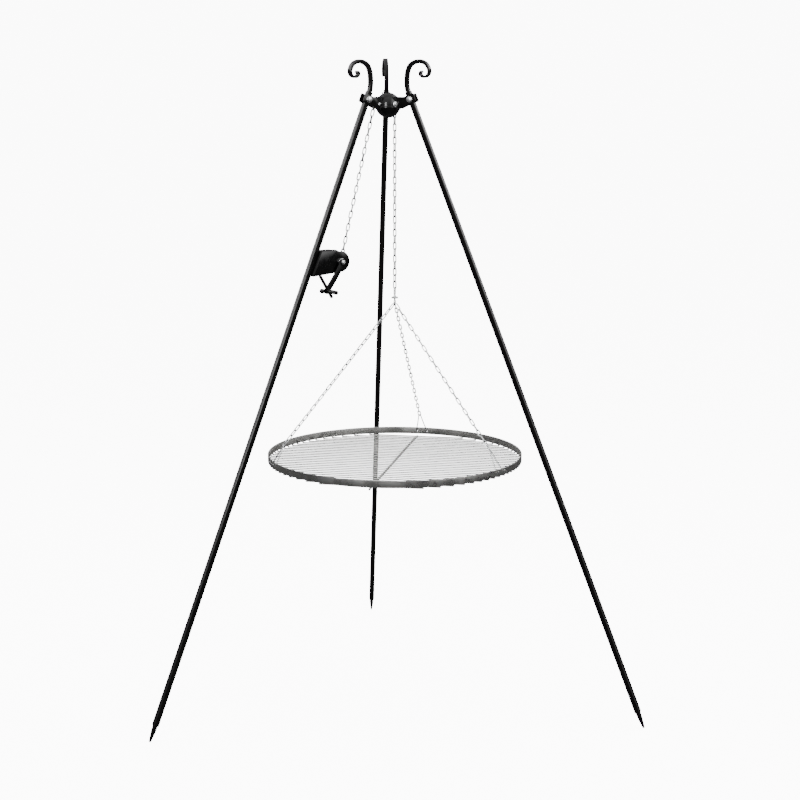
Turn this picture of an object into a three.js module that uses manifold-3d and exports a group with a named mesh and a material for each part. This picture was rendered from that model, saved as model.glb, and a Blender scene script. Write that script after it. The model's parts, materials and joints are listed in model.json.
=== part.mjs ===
// Campfire tripod with a winch-hoisted swing grate.
// Millimetres, +Z up. The origin is on the ground, at the middle of the footprint's box.
// Three square legs meet at a ball-shaped hub. Inside the hub the hoist chain runs over a pulley,
// then over a guide roller in the left arm, down to a hand winch on the left leg.
// Legs are built in "radial" groups: local X points away from the hub axis, local Y is tangential.

import * as THREE from "three";
import { mergeVertices } from "three/addons/utils/BufferGeometryUtils.js";
import Module from "manifold-3d";

const wasm = await Module();
wasm.setup();

const DEG = Math.PI / 180;
const GAP = 0.3; // left between pieces that touch

// Tripod
const FOOT_R = 776; // from the hub axis to a foot tip
const BOLT_R = 70; // from the hub axis to a leg bolt
const BOLT_Z = 1692;
const LEGS = { left: 210, right: 330, back: 90 }; // azimuth in degrees
const HEAD_SIDE = { left: 1, right: -1, back: 1 }; // side of the leg that its bolt head is on
const LEG_SIDE = 15; // square tube
const LEG_BORE = 12.2;
const LEG_ABOVE_BOLT = 22; // tube end above the bolt
const LEAN = Math.atan2(FOOT_R - BOLT_R, BOLT_Z);
const LEG_LENGTH = Math.hypot(FOOT_R - BOLT_R, BOLT_Z); // foot tip to bolt
const BAR = LEG_BORE - 2 * GAP; // square bar that fits the tube
const HUB_Y = 0.33 - FOOT_R / 4; // centres the footprint, blunt tips included, on the origin

// Foot spikes
const SPIKE_OUT = 46; // below the tube end
const SPIKE_POINT = 26; // length of the pyramid
const SPIKE_IN = 30; // pressed into the tube
const SPIKE_TIP = 4; // side of the blunt tip

// Scrolls: centre line in the leg's radial plane, as (radius, height)
const SCROLL_TOP = 1800;
const SCROLL_THIN = 6; // bar thickness at the curl's end
const SCROLL_WIDE = 17; // and its width there
const SCROLL_LINE = [
  [58.4, 1724], [57.4, 1745], [60.6, 1769], [71, 1786.5], [93, SCROLL_TOP - 5.4], [114, 1788.5],
  [124.4, 1771], [120.5, 1757.5], [109, 1752.8], [100, 1757], [98.6, 1764], [103, 1767.5],
];

// Hub
const HUB_Z = 1675; // ball centre
const BALL_R = 34.5;
const BALL_WALL = 2.5;
const PARTING_Z = -4; // the shells meet this far from the ball centre
const ARM_GAP = 16.4; // between an arm's cheeks
const ARM_PLATE = 3;
const ARM_TOP = 23; // height of the arm's web above the ball centre
const ARM_ROOT_R = 28; // where an arm starts, inside the ball's outline
const ARM_WEB_R = 52; // where its web ends
const ARM_GUSSET = [[ARM_ROOT_R, -11], [36, -11], [66, 8], [66, ARM_TOP], [ARM_ROOT_R, ARM_TOP]];
const CHEEK_END = { inwards: 22, outwards: 16, along: 12 }; // a cheek's end, about the bolt
const GUIDE_SLOT = { half: 8, z: [-12, 24] }; // in the ball, for the chain and guide roller
const DROP_SLOT = { in: 6.5, out: 16, half: 7 }; // in the bowl, for the falling chain
const BOLT_SHANK_R = 4;
const BOLT_HEAD_R = 7.5;
const BOLT_HEAD_H = 5.5;
const NUT_H = 6.5;
const THREAD_END = 2.5; // the bolt shows this much past its nut

// Hoist
const CHAIN_R = 2.3; // round stand-in of the chain
const PULLEY = { r: 0, z: HUB_Z + 3, pitch: 22 };
const GUIDE = { r: 37, z: HUB_Z + 4, pitch: 8 };
const GUIDE_PIN_R = 2.5;
const DRUM = { r: 169.5, z: 1256, pitch: 12 };
const ROLLER_HALF = 6; // half the width of pulley and roller
const DROP_R = PULLEY.r - PULLEY.pitch; // the falling chain, on the far side of the axis
const SPACER_END = 29.8; // the pulley spacers stop short of the dome

// Winch
const NOSE_R = 28.5;
const SIDE_OUT = 20; // half the width over the side plates
const SHEET = 3;
const TOP_FRONT_R = 184; // where the top plate ends
const TOP_Z = 1288.5;
const BOTTOM_Z = 1221;
const AXLE_R = 4;
const CRANK_Y = 25; // inner face of the crank arm
const CRANK_T = 4;
const CRANK_END = { r: 220, z: 1181 };
const CRANK_BOW = 2.5;
const RIVET = { r: 234, z: 1181.5 };
const CROSS_BAR = { y: 35.5, r: 4.4, outer: [246, 1223], inner: [210.6, 1164.8] };
const GRIP_Y = [42, 74];
const GRIP_R = 5.6;
const CRANK_HALF = 8; // half the crank arm's width
const RIVET_R = 6.6;

// Grate and its bridle
const RIM_R = 361;
const RIM_T = 3;
const RIM_TOP = 697.5;
const RIM_H = 20;
const ROD_R = 2.1;
const ROD_COUNT = 31;
const ROD_PITCH = 22;
const SUPPORT_R = 3;
const SUPPORT_AZIMUTH = 75; // the rods run across it
const HANGERS = { back: -2, left: 120, right: 244 }; // degrees from the support bar
const HANGER_HALF = 15;
const HANGER_RISE = 62; // from the rim holes to the hanger's peak
const HANGER_TILT = 62; // degrees above level
const WIRE_R = 1.6;
const EYE_Z = 1126; // centre of the bridle eye
const EYE_R = 6.5;
const SWIVEL_Z = 1139; // underside of the swivel plate
const SWIVEL_PLATE = 4;
const STEM_R = 2.4;
const STEM_HEAD_R = 4;
const BOW_R = 7.2;

const steel = (color, roughness, metalness) =>
  new THREE.MeshStandardMaterial({ color, roughness, metalness });
const BLACK = steel(0x0c0c0d, 0.25, 0.1);
const ZINC = steel(0xb9bcbe, 0.35, 0.9);
const STAINLESS = steel(0xa6a8a8, 0.3, 1);
const CHAIN = steel(0xa9abac, 0.4, 0.9);
const BRASS = steel(0xa88a4a, 0.4, 0.9);

// ---- solids ----

function toSolid(geometry) {
  geometry.deleteAttribute("normal");
  geometry.deleteAttribute("uv");
  const merged = mergeVertices(geometry, 1e-4);
  const vertProperties = new Float32Array(merged.attributes.position.array);
  const triVerts = new Uint32Array(merged.index.array);
  return new wasm.Manifold(new wasm.Mesh({ numProp: 3, vertProperties, triVerts }));
}

function toGeometry(solid) {
  const mesh = solid.getMesh();
  const geometry = new THREE.BufferGeometry();
  geometry.setAttribute("position", new THREE.BufferAttribute(mesh.vertProperties, 3));
  geometry.setIndex(new THREE.BufferAttribute(mesh.triVerts, 1));
  return geometry;
}

const join = (first, ...rest) =>
  toGeometry(rest.reduce((sum, g) => sum.add(toSolid(g)), toSolid(first)));

const cut = (body, ...tools) =>
  toGeometry(tools.reduce((sum, g) => sum.subtract(toSolid(g)), toSolid(body)));

const box = (x, y, z) =>
  new THREE.BoxGeometry(x[1] - x[0], y[1] - y[0], z[1] - z[0])
    .translate((x[0] + x[1]) / 2, (y[0] + y[1]) / 2, (z[0] + z[1]) / 2);

// A prism of `sides` sides about the tangential axis, from y0 to y1.
const pin = (r, y0, y1, at, radius, sides = 16) =>
  new THREE.CylinderGeometry(radius, radius, y1 - y0, sides).translate(r, (y0 + y1) / 2, at);

// A plate in the radial plane, from y0 to y1. The shape's x is the radius and its y the height.
const plate = (shape, y0, y1, curveSegments = 8) =>
  new THREE.ExtrudeGeometry(shape, { depth: y1 - y0, bevelEnabled: false, curveSegments })
    .rotateX(Math.PI / 2)
    .translate(0, y1, 0);

const polygon = (points) => new THREE.Shape(points.map(([x, y]) => new THREE.Vector2(x, y)));

// A turned piece about the tangential axis: the profile is a list of (radius, y).
const turned = (profile, segments = 24) =>
  new THREE.LatheGeometry(profile.map(([r, y]) => new THREE.Vector2(r, y)), segments);

const ring = (inner, outer, y0, y1, segments = 24) =>
  turned([[inner, y0], [outer, y0], [outer, y1], [inner, y1], [inner, y0]], segments);

const bolt = (shankR, headR, headY, headLength, endY) =>
  join(
    pin(0, headY, headY + headLength, 0, headR, 6),
    pin(0, endY, headY + 1, 0, shankR),
  );

const nut = (boreR, outerR, y0, y1) => cut(pin(0, y0, y1, 0, outerR, 6), pin(0, y0 - 1, y1 + 1, 0, boreR));

// A rod of round section along a path, or straight between two points.
function rod(path, radius, steps = 1, sides = 8) {
  const section = new THREE.Shape().absarc(0, 0, radius, 0, 2 * Math.PI);
  const points = section.getSpacedPoints(sides).slice(0, sides);
  return new THREE.ExtrudeGeometry(new THREE.Shape(points), {
    steps,
    extrudePath: path,
    bevelEnabled: false,
  });
}

const straight = (from, to) => new THREE.LineCurve3(new THREE.Vector3(...from), new THREE.Vector3(...to));

// ---- scene graph ----

const tripod = new THREE.Group();
const hub = new THREE.Group();
hub.position.y = HUB_Y;
tripod.add(hub);

function add(group, name, geometry, material, position = [0, 0, 0]) {
  const mesh = new THREE.Mesh(geometry, material);
  mesh.name = name;
  mesh.position.set(...position);
  group.add(mesh);
}

function turnedGroup(parent, azimuth, position = [0, 0, 0]) {
  const group = new THREE.Group();
  group.position.set(...position);
  group.rotation.z = azimuth * DEG;
  parent.add(group);
  return group;
}

const radial = Object.fromEntries(
  Object.entries(LEGS).map(([name, azimuth]) => [name, turnedGroup(hub, azimuth)]),
);

// ---- legs ----

const legMatrix = new THREE.Matrix4()
  .makeRotationY(-LEAN)
  .setPosition(BOLT_R, 0, BOLT_Z);

// A point at a distance above the bolt, along the leg's axis, as (radius, height).
const onLeg = (s) => [BOLT_R - s * Math.sin(LEAN), BOLT_Z + s * Math.cos(LEAN)];

function square(side) {
  const h = side / 2;
  return polygon([[-h, -h], [h, -h], [h, h], [-h, h]]);
}

// The fixing screws of the winch sit at these distances along the left leg.
const WINCH_S = -(BOLT_Z - 1253) / Math.cos(LEAN);
const SCREWS = { upper: WINCH_S + 17, lower: WINCH_S - 17 };

function legTube(name) {
  const shape = square(LEG_SIDE);
  shape.holes.push(square(LEG_BORE));
  const bottom = SPIKE_OUT - LEG_LENGTH;
  const tube = new THREE.ExtrudeGeometry(shape, { depth: LEG_ABOVE_BOLT - bottom, bevelEnabled: false });
  tube.translate(0, 0, bottom);
  const holes = [pin(0, -LEG_SIDE, LEG_SIDE, 0, BOLT_SHANK_R + 0.5)];
  if (name === "left") {
    for (const s of Object.values(SCREWS)) {
      const hole = new THREE.CylinderGeometry(3.3, 3.3, 8, 12).rotateZ(Math.PI / 2);
      holes.push(hole.translate(-LEG_SIDE / 2, 0, s));
    }
  }
  return cut(tube, ...holes).applyMatrix4(legMatrix);
}

function footSpike() {
  const tube = SPIKE_OUT - LEG_LENGTH; // the tube's lower end
  const frustum = (top, bottom, z0, z1) =>
    new THREE.CylinderGeometry(top * Math.SQRT1_2, bottom * Math.SQRT1_2, z1 - z0, 4)
      .rotateX(Math.PI / 2)
      .rotateZ(Math.PI / 4)
      .translate(0, 0, (z0 + z1) / 2);
  const tip = tube - SPIKE_OUT;
  const spike = join(
    frustum(BAR, BAR, tube - 0.5, tube + SPIKE_IN),
    frustum(BAR, BAR - 1.5, tip + SPIKE_POINT - 0.5, tube),
    frustum(BAR - 1.5, SPIKE_TIP, tip - 1, tip + SPIKE_POINT),
  );
  const ground = box([0, 2 * FOOT_R], [-50, 50], [-50, 0]);
  return cut(spike.applyMatrix4(legMatrix), ground);
}

// A closed solid through a row of four-cornered sections.
function throughSections(sections) {
  const faces = [[0, 1, 2], [0, 2, 3]];
  for (let i = 0; i < sections.length - 1; i++) {
    for (let k = 0; k < 4; k++) {
      const a = 4 * i + k;
      const b = 4 * i + ((k + 1) % 4);
      faces.push([a, b + 4, b], [a, a + 4, b + 4]);
    }
  }
  const end = 4 * (sections.length - 1);
  faces.push([end, end + 2, end + 1], [end, end + 3, end + 2]);
  const geometry = new THREE.BufferGeometry();
  geometry.setAttribute("position", new THREE.Float32BufferAttribute(sections.flat(2), 3));
  geometry.setIndex(faces.flat());
  geometry.computeVertexNormals();
  return geometry;
}

function scroll() {
  const line = [onLeg(6), onLeg(12), onLeg(18), ...SCROLL_LINE];
  const curve = new THREE.CatmullRomCurve3(line.map(([r, z]) => new THREE.Vector3(r, 0, z)));
  const { lerp, smoothstep } = THREE.MathUtils;
  const STEPS = 34;
  const sections = [];
  for (let i = 0; i <= STEPS; i++) {
    const u = i / STEPS;
    const thick = lerp(BAR, SCROLL_THIN, smoothstep(u, 0.5, 0.85)) / 2;
    const wide = lerp(BAR, SCROLL_WIDE, smoothstep(u, 0.45, 0.8)) / 2;
    const at = curve.getPointAt(u);
    const along = curve.getTangentAt(u);
    const corner = (out, side) => [at.x - along.z * out, side, at.z + along.x * out];
    sections.push([
      corner(thick, -wide), corner(thick, wide), corner(-thick, wide), corner(-thick, -wide)]);
  }
  return throughSections(sections);
}

for (const name of Object.keys(LEGS)) {
  const group = radial[name];
  add(group, `leg_tube_${name}`, legTube(name), BLACK);
  add(group, `foot_spike_${name}`, footSpike(), BLACK);
  add(group, `scroll_${name}`, scroll(), BLACK);
}

// ---- hub ----

// One shell of the ball, above or below the parting plane. Slots let the chain in and out.
function ballShell(upper) {
  const ball = new THREE.SphereGeometry(BALL_R, 28, 16).rotateX(Math.PI / 2);
  const hollow = new THREE.SphereGeometry(BALL_R - BALL_WALL, 28, 16).rotateX(Math.PI / 2);
  const away = upper ? [-50, PARTING_Z + 0.15] : [PARTING_Z - 0.15, 50];
  const slots = [
    box([-50, 50], [-50, 50], away),
    box([18, 50], [-GUIDE_SLOT.half, GUIDE_SLOT.half], GUIDE_SLOT.z),
  ];
  slots.push(
    upper
      ? pin(PULLEY.r, -50, 50, PULLEY.z - HUB_Z, BOLT_SHANK_R + 0.5)
      : box([DROP_R - DROP_SLOT.out, DROP_R + DROP_SLOT.in], [-DROP_SLOT.half, DROP_SLOT.half], [-50, 0]),
  );
  return cut(ball, hollow, ...slots);
}

// An arm is a channel, open below: two cheeks with a web between them at the top.
function hubArm(name) {
  const { inwards, outwards, along } = CHEEK_END;
  const outer = ARM_GAP / 2 + ARM_PLATE;
  const lean = new THREE.Matrix4()
    .makeRotationY(-LEAN)
    .setPosition(BOLT_R, 0, BOLT_Z - HUB_Z);
  const cheek = (y0, y1) => join(
    plate(polygon(ARM_GUSSET), y0, y1),
    box([-inwards, outwards], [y0, y1], [-along, along]).applyMatrix4(lean),
  );
  const arm = join(
    cheek(ARM_GAP / 2, outer),
    cheek(-outer, -ARM_GAP / 2),
    box([ARM_ROOT_R, ARM_WEB_R], [-outer, outer], [ARM_TOP - ARM_PLATE, ARM_TOP]),
  );
  const tools = [
    new THREE.SphereGeometry(BALL_R + 0.8, 28, 16).rotateX(Math.PI / 2),
    pin(BOLT_R, -50, 50, BOLT_Z - HUB_Z, BOLT_SHANK_R + 0.5),
  ];
  if (name === "left") tools.push(pin(GUIDE.r, -50, 50, GUIDE.z - HUB_Z, GUIDE_PIN_R + 0.4));
  return cut(arm, ...tools);
}

add(radial.left, "hub_dome", ballShell(true), BLACK, [0, 0, HUB_Z]);
add(radial.left, "hub_bowl", ballShell(false), BLACK, [0, 0, HUB_Z]);

const CHEEK_OUT = ARM_GAP / 2 + ARM_PLATE + GAP;
for (const name of Object.keys(LEGS)) {
  const turn = HEAD_SIDE[name] > 0 ? 0 : Math.PI;
  const at = [BOLT_R, 0, BOLT_Z];
  const threadEnd = -CHEEK_OUT - NUT_H - THREAD_END;
  const legBolt = bolt(BOLT_SHANK_R, BOLT_HEAD_R, CHEEK_OUT, BOLT_HEAD_H, threadEnd);
  const legNut = nut(BOLT_SHANK_R + GAP, BOLT_HEAD_R, -CHEEK_OUT - NUT_H, -CHEEK_OUT);
  add(radial[name], `hub_arm_${name}`, hubArm(name), BLACK, [0, 0, HUB_Z]);
  add(radial[name], `leg_bolt_${name}`, legBolt.rotateZ(turn), ZINC, at);
  add(radial[name], `leg_nut_${name}`, legNut.rotateZ(turn), ZINC, at);
}

// ---- pulley and guide roller ----

// A grooved wheel on the tangential axis, whose groove holds the chain at the pitch radius.
function grooved(pitch, boreR) {
  const root = pitch - CHAIN_R - GAP;
  const edge = pitch + 3.2;
  const w = ROLLER_HALF;
  return turned([
    [boreR, -w], [edge, -w], [edge, 1 - w], [root + 2.6, -2.9], [root, -1.4],
    [root, 1.4], [root + 2.6, 2.9], [edge, w - 1], [edge, w], [boreR, w], [boreR, -w],
  ]);
}

const pulleyAt = [PULLEY.r, 0, PULLEY.z];
const guideAt = [GUIDE.r, 0, GUIDE.z];
add(radial.left, "hub_pulley", grooved(PULLEY.pitch, 4.4), BRASS, pulleyAt);
add(radial.left, "pulley_axle", bolt(BOLT_SHANK_R, 8, BALL_R + GAP, 5, -BALL_R - 8), ZINC, pulleyAt);
add(radial.left, "pulley_axle_nut", nut(4.3, BOLT_HEAD_R, -BALL_R - 6.8, -BALL_R - GAP), ZINC, pulleyAt);
for (const [name, side] of [["near", 1], ["far", -1]]) {
  const ends = [ROLLER_HALF + GAP, SPACER_END].map((y) => y * side).sort((a, b) => a - b);
  add(radial.left, `pulley_spacer_${name}`, ring(4.4, 6.4, ...ends, 16), ZINC, pulleyAt);
}
add(radial.left, "guide_roller", grooved(GUIDE.pitch, GUIDE_PIN_R + 0.4), BRASS, guideAt);
add(radial.left, "guide_pin", bolt(GUIDE_PIN_R, 3.8, CHEEK_OUT, 3, -CHEEK_OUT - 3), ZINC, guideAt);

// ---- hoist chain ----

// The straight run from the guide roller to the drum crosses from the rollers' outer side
// to the drum's inner side. It leans by runLean from the vertical.
const span = Math.hypot(DRUM.r - GUIDE.r, GUIDE.z - DRUM.z);
const runLean = Math.acos((GUIDE.pitch + DRUM.pitch) / span)
  - Math.atan2(GUIDE.z - DRUM.z, DRUM.r - GUIDE.r);
const onWheel = (wheel, angle) => new THREE.Vector3(
  wheel.r + wheel.pitch * Math.cos(angle), 0, wheel.z + wheel.pitch * Math.sin(angle));

// The line over the tops of pulley and roller leans by topLean from the horizontal.
const topSpan = Math.hypot(GUIDE.r - PULLEY.r, GUIDE.z - PULLEY.z);
const topAngle = Math.PI / 2 + Math.atan2(GUIDE.z - PULLEY.z, GUIDE.r - PULLEY.r)
  - Math.asin((PULLEY.pitch - GUIDE.pitch) / topSpan);

function chainOverHub() {
  const points = [];
  for (let i = 0; i <= 4; i++) points.push(onWheel(GUIDE, runLean + ((topAngle - runLean) * i) / 4));
  for (let i = 0; i <= 10; i++) points.push(onWheel(PULLEY, topAngle + ((Math.PI - topAngle) * i) / 10));
  const path = new THREE.CurvePath();
  points.slice(1).forEach((p, i) => path.add(new THREE.LineCurve3(points[i], p)));
  return rod(path, CHAIN_R, 30);
}

const runTop = onWheel(GUIDE, runLean);
const runEnd = onWheel(DRUM, runLean + Math.PI);
const runDir = runEnd.clone().sub(runTop).normalize();
const runFrom = runTop.clone().addScaledVector(runDir, GAP);
const runTo = runEnd.clone().addScaledVector(runDir, -12); // stops where the wound chain begins
const swivelTop = SWIVEL_Z + SWIVEL_PLATE + BOW_R + 2 * WIRE_R;

add(radial.left, "chain_over_hub", chainOverHub(), CHAIN);
add(radial.left, "chain_to_winch", rod(new THREE.LineCurve3(runFrom, runTo), CHAIN_R), CHAIN);
add(
  radial.left,
  "chain_drop",
  rod(straight([DROP_R, 0, PULLEY.z - GAP], [DROP_R, 0, swivelTop + GAP]), CHAIN_R),
  CHAIN,
);

// ---- winch ----

// Radius of the leg's inner face at a height, less a gap.
const faceAt = (z, back = 0) =>
  BOLT_R + (BOLT_Z - z) * Math.tan(LEAN) - (LEG_SIDE / 2 + GAP + back) / Math.cos(LEAN);

function winchHousing() {
  const sideTop = TOP_Z - SHEET;
  const outline = new THREE.Shape();
  outline.moveTo(faceAt(TOP_Z), TOP_Z);
  outline.lineTo(TOP_FRONT_R, TOP_Z);
  outline.lineTo(TOP_FRONT_R, sideTop);
  outline.absarc(DRUM.r, sideTop - NOSE_R, NOSE_R, Math.PI / 2, 1.5 * Math.PI);
  outline.lineTo(faceAt(BOTTOM_Z), BOTTOM_Z);
  const open = TOP_FRONT_R - SHEET;
  const inside = polygon([
    [100, 1200], [faceAt(1200, SHEET), 1200], [faceAt(sideTop, SHEET), sideTop],
    [open, sideTop], [open, 1310], [100, 1310],
  ]);
  const holes = Object.values(SCREWS).map((s) =>
    new THREE.CylinderGeometry(3.2, 3.2, 16, 12)
      .rotateZ(Math.PI / 2)
      .translate(-LEG_SIDE / 2 - 4, 0, s)
      .applyMatrix4(legMatrix));
  return cut(
    plate(outline, -SIDE_OUT, SIDE_OUT),
    plate(inside, SHEET - SIDE_OUT, SIDE_OUT - SHEET),
    pin(DRUM.r, -50, 50, DRUM.z, AXLE_R + 0.5),
    ...holes,
  );
}

// Screw from inside the housing, through its back, into the leg.
const screwBack = -LEG_SIDE / 2 - SHEET - 2 * GAP;
const winchScrew = (s) =>
  bolt(2.8, 5, -screwBack, 3.5, -2)
    .rotateZ(Math.PI / 2)
    .translate(0, 0, s)
    .applyMatrix4(legMatrix);

function crankArm() {
  const from = new THREE.Vector2(DRUM.r, DRUM.z);
  const to = new THREE.Vector2(CRANK_END.r, CRANK_END.z);
  const across = to.clone().sub(from).normalize().rotateAround(new THREE.Vector2(), -Math.PI / 2);
  const middle = from.clone().add(to).multiplyScalar(0.5).addScaledVector(across, 2 * CRANK_BOW);
  const line = new THREE.QuadraticBezierCurve(from, middle, to);
  const edge = (side) => line.getPoints(8).map((p, i) => {
    const t = line.getTangent(i / 8);
    return [p.x - t.y * side, p.y + t.x * side];
  });
  const y0 = CRANK_Y;
  const y1 = CRANK_Y + CRANK_T;
  const ear = polygon([[CRANK_END.r, -5.5], [RIVET.r, -5.5], [RIVET.r, 5.5], [CRANK_END.r, 5.5]]);
  return cut(
    join(
      plate(polygon([...edge(CRANK_HALF), ...edge(-CRANK_HALF).reverse()]), y0, y1),
      pin(DRUM.r, y0, y1, DRUM.z, 9, 24),
      pin(CRANK_END.r, y0, y1, CRANK_END.z, CRANK_HALF + 1),
      plate(ear, y0, y1).translate(0, 0, CRANK_END.z),
      pin(RIVET.r, y0, y1, RIVET.z, RIVET_R),
    ),
    pin(DRUM.r, 0, 50, DRUM.z, AXLE_R + GAP),
    pin(CRANK_END.r, 0, 50, CRANK_END.z, 2.9),
    pin(RIVET.r, 0, 50, RIVET.z, 2.3),
  );
}

function crossBar() {
  const { y, r, outer, inner } = CROSS_BAR;
  return cut(
    join(
      rod(straight([outer[0], y, outer[1]], [inner[0], y, inner[1]]), r),
      pin(CRANK_END.r, y - 4.5, y + 5, CRANK_END.z, 6.2),
    ),
    pin(CRANK_END.r, 0, 100, CRANK_END.z, 2.9),
  );
}

const armBack = CRANK_Y - GAP;
const armFront = CRANK_Y + CRANK_T + GAP;
const drumAt = [DRUM.r, 0, DRUM.z];
const handleAt = [CRANK_END.r, 0, CRANK_END.z];

const drum = turned([
  [4.3, -15.5], [22, -15.5], [22, -14], [7, -14], [7, 14], [22, 14], [22, 15.5], [4.3, 15.5], [4.3, -15.5],
]);
const rivet = turned([
  [0, armBack - 4.2], [4, armBack - 3.4], [RIVET_R, armBack - 1.2], [RIVET_R, armBack],
  [2, armBack], [2, armFront], [RIVET_R, armFront], [RIVET_R, armFront + 1.2],
  [4, armFront + 3.4], [0, armFront + 4.2],
], 12);
const spindle = turned([
  [0, armBack - 2.5], [4.2, armBack - 2.5], [4.2, armBack], [2.5, armBack],
  [2.5, GRIP_Y[1] + GAP], [GRIP_R, GRIP_Y[1] + GAP], [GRIP_R, GRIP_Y[1] + 2.5],
  [0, GRIP_Y[1] + 2.5],
], 12);

add(radial.left, "winch_housing", winchHousing(), BLACK);
add(radial.left, "winch_screw_upper", winchScrew(SCREWS.upper), ZINC);
add(radial.left, "winch_screw_lower", winchScrew(SCREWS.lower), ZINC);
add(radial.left, "winch_drum", drum, ZINC, drumAt);
add(radial.left, "chain_on_drum", ring(7.3, DRUM.pitch + CHAIN_R, -13.5, 13.5), CHAIN, drumAt);
add(radial.left, "winch_axle", pin(0, -24.5, armFront + 7, 0, AXLE_R), ZINC, drumAt);
add(radial.left, "axle_clip", ring(4.3, 7.5, -SIDE_OUT - 2, -SIDE_OUT - GAP, 16), ZINC, drumAt);
add(radial.left, "brake_washer", ring(4.3, 9.5, SIDE_OUT + GAP, armBack, 16), ZINC, drumAt);
add(radial.left, "crank_arm", crankArm(), BLACK);
add(radial.left, "crank_nut", nut(4.3, 7, armFront, armFront + 5), ZINC, drumAt);
add(radial.left, "crank_rivet", rivet, BLACK, [RIVET.r, 0, RIVET.z]);
add(radial.left, "handle_spindle", spindle, BLACK, handleAt);
add(radial.left, "handle_cross_bar", crossBar(), BLACK);
add(radial.left, "handle_grip", ring(2.8, GRIP_R, ...GRIP_Y, 16), BLACK, handleAt);

// ---- grate ----
// Built about the falling chain. Local X runs along the support bar, the rods along local Y.

const dropX = DROP_R * Math.cos(LEGS.left * DEG);
const dropY = DROP_R * Math.sin(LEGS.left * DEG);
const grate = turnedGroup(hub, SUPPORT_AZIMUTH, [dropX, dropY, 0]);
const holeZ = RIM_TOP - RIM_H / 2;

function grateRim() {
  const z0 = RIM_TOP - RIM_H;
  const band = ring(RIM_R - RIM_T, RIM_R, z0, RIM_TOP, 72).rotateX(Math.PI / 2);
  const holes = Object.values(HANGERS).flatMap((azimuth) => [-HANGER_HALF, HANGER_HALF].map((y) =>
    new THREE.CylinderGeometry(2.6, 2.6, 30, 10)
      .rotateZ(Math.PI / 2)
      .translate(RIM_R, y, holeZ)
      .rotateZ(azimuth * DEG)));
  return cut(band, ...holes);
}

// Rods side by side under the rim, joined by the welded support bar below them.
function rodGrid() {
  const flat = Math.cos(Math.PI / 8); // the rods' eight-sided section has a flat on top
  const z = RIM_TOP - RIM_H - GAP - ROD_R * flat;
  const reach = RIM_R - 1;
  const lying = (radius, length) =>
    new THREE.CylinderGeometry(radius, radius, length, 8, 1, false, Math.PI / 8);
  const rods = [];
  for (let i = 0; i < ROD_COUNT; i++) {
    const x = (i - (ROD_COUNT - 1) / 2) * ROD_PITCH;
    rods.push(lying(ROD_R, 2 * Math.sqrt(reach * reach - x * x)).translate(x, 0, z));
  }
  const support = lying(SUPPORT_R, 2 * (RIM_R - 4)).rotateZ(Math.PI / 2);
  return join(support.translate(0, 0, z - (ROD_R + SUPPORT_R) * flat + 1), ...rods);
}

// Along a hanger, up and inwards from the rim's holes.
const upHanger = (distance) => [
  RIM_R - RIM_T - distance * Math.cos(HANGER_TILT * DEG), 0,
  holeZ + distance * Math.sin(HANGER_TILT * DEG)];

// Along a bridle chain, from its hanger's peak to the eye.
const [peakR, , peakZ] = upHanger(HANGER_RISE);
const bridleRise = Math.atan2(EYE_Z - peakZ, peakR);
const bridleLength = Math.hypot(EYE_Z - peakZ, peakR);
const upBridle = (distance) => [
  peakR - distance * Math.cos(bridleRise), 0, peakZ + distance * Math.sin(bridleRise)];

function rimHanger() {
  const [bendR, , bendZ] = upHanger(HANGER_RISE - 5);
  const side = (y) => [[RIM_R + 4, y, holeZ], [RIM_R - 6, y, holeZ], [bendR, y / 4, bendZ]];
  const points = [...side(-HANGER_HALF), [peakR, 0, peakZ], ...side(HANGER_HALF).reverse()];
  const curve = new THREE.CatmullRomCurve3(
    points.map((p) => new THREE.Vector3(...p)), false, "catmullrom", 0.15);
  return rod(curve, WIRE_R, 30, 6);
}

add(grate, "grate_rim", grateRim(), STAINLESS);
add(grate, "grate_rod_grid", rodGrid(), STAINLESS);
for (const [name, azimuth] of Object.entries(HANGERS)) {
  const group = turnedGroup(grate, azimuth);
  const path = straight(upBridle(2 * WIRE_R), upBridle(bridleLength - EYE_R - 6));
  add(group, `rim_hanger_${name}`, rimHanger(), ZINC);
  add(group, `bridle_chain_${name}`, rod(path, CHAIN_R - 0.3), CHAIN);
}

// ---- swivel between the falling chain and the bridle ----

function swivelBow() {
  const z0 = SWIVEL_Z + SWIVEL_PLATE - 1;
  const arc = [];
  for (let i = 0; i <= 8; i++) {
    const angle = (Math.PI * i) / 8;
    arc.push([BOW_R * Math.cos(angle), 0, z0 + 1 + BOW_R * Math.sin(angle)]);
  }
  const points = [[BOW_R, 0, z0], ...arc, [-BOW_R, 0, z0]].map((p) => new THREE.Vector3(...p));
  const disc = ring(STEM_R + 0.5, BOW_R + 2.5, 0, SWIVEL_PLATE, 20).rotateX(Math.PI / 2);
  return join(
    disc.translate(0, 0, SWIVEL_Z),
    rod(new THREE.CatmullRomCurve3(points), WIRE_R, 14, 6),
  );
}

// The eye's headed stem turns in the swivel's disc.
function bridleEye() {
  const upright = (radius, z0, z1) =>
    new THREE.CylinderGeometry(radius, radius, z1 - z0, 16)
      .rotateX(Math.PI / 2)
      .translate(0, 0, (z0 + z1) / 2);
  const loop = new THREE.TorusGeometry(EYE_R, WIRE_R + 0.6, 6, 18).rotateX(Math.PI / 2);
  const top = SWIVEL_Z + SWIVEL_PLATE + GAP;
  return join(
    loop.translate(0, 0, EYE_Z),
    upright(STEM_R, EYE_Z + EYE_R - 1, top + 1),
    upright(STEM_HEAD_R, top, top + 3),
  );
}

add(grate, "swivel_bow", swivelBow(), ZINC);
add(grate, "bridle_eye", bridleEye(), ZINC);

export default tripod;
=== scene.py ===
import json
import math
import random

import bmesh
import bpy
from mathutils import Matrix, Vector


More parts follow.
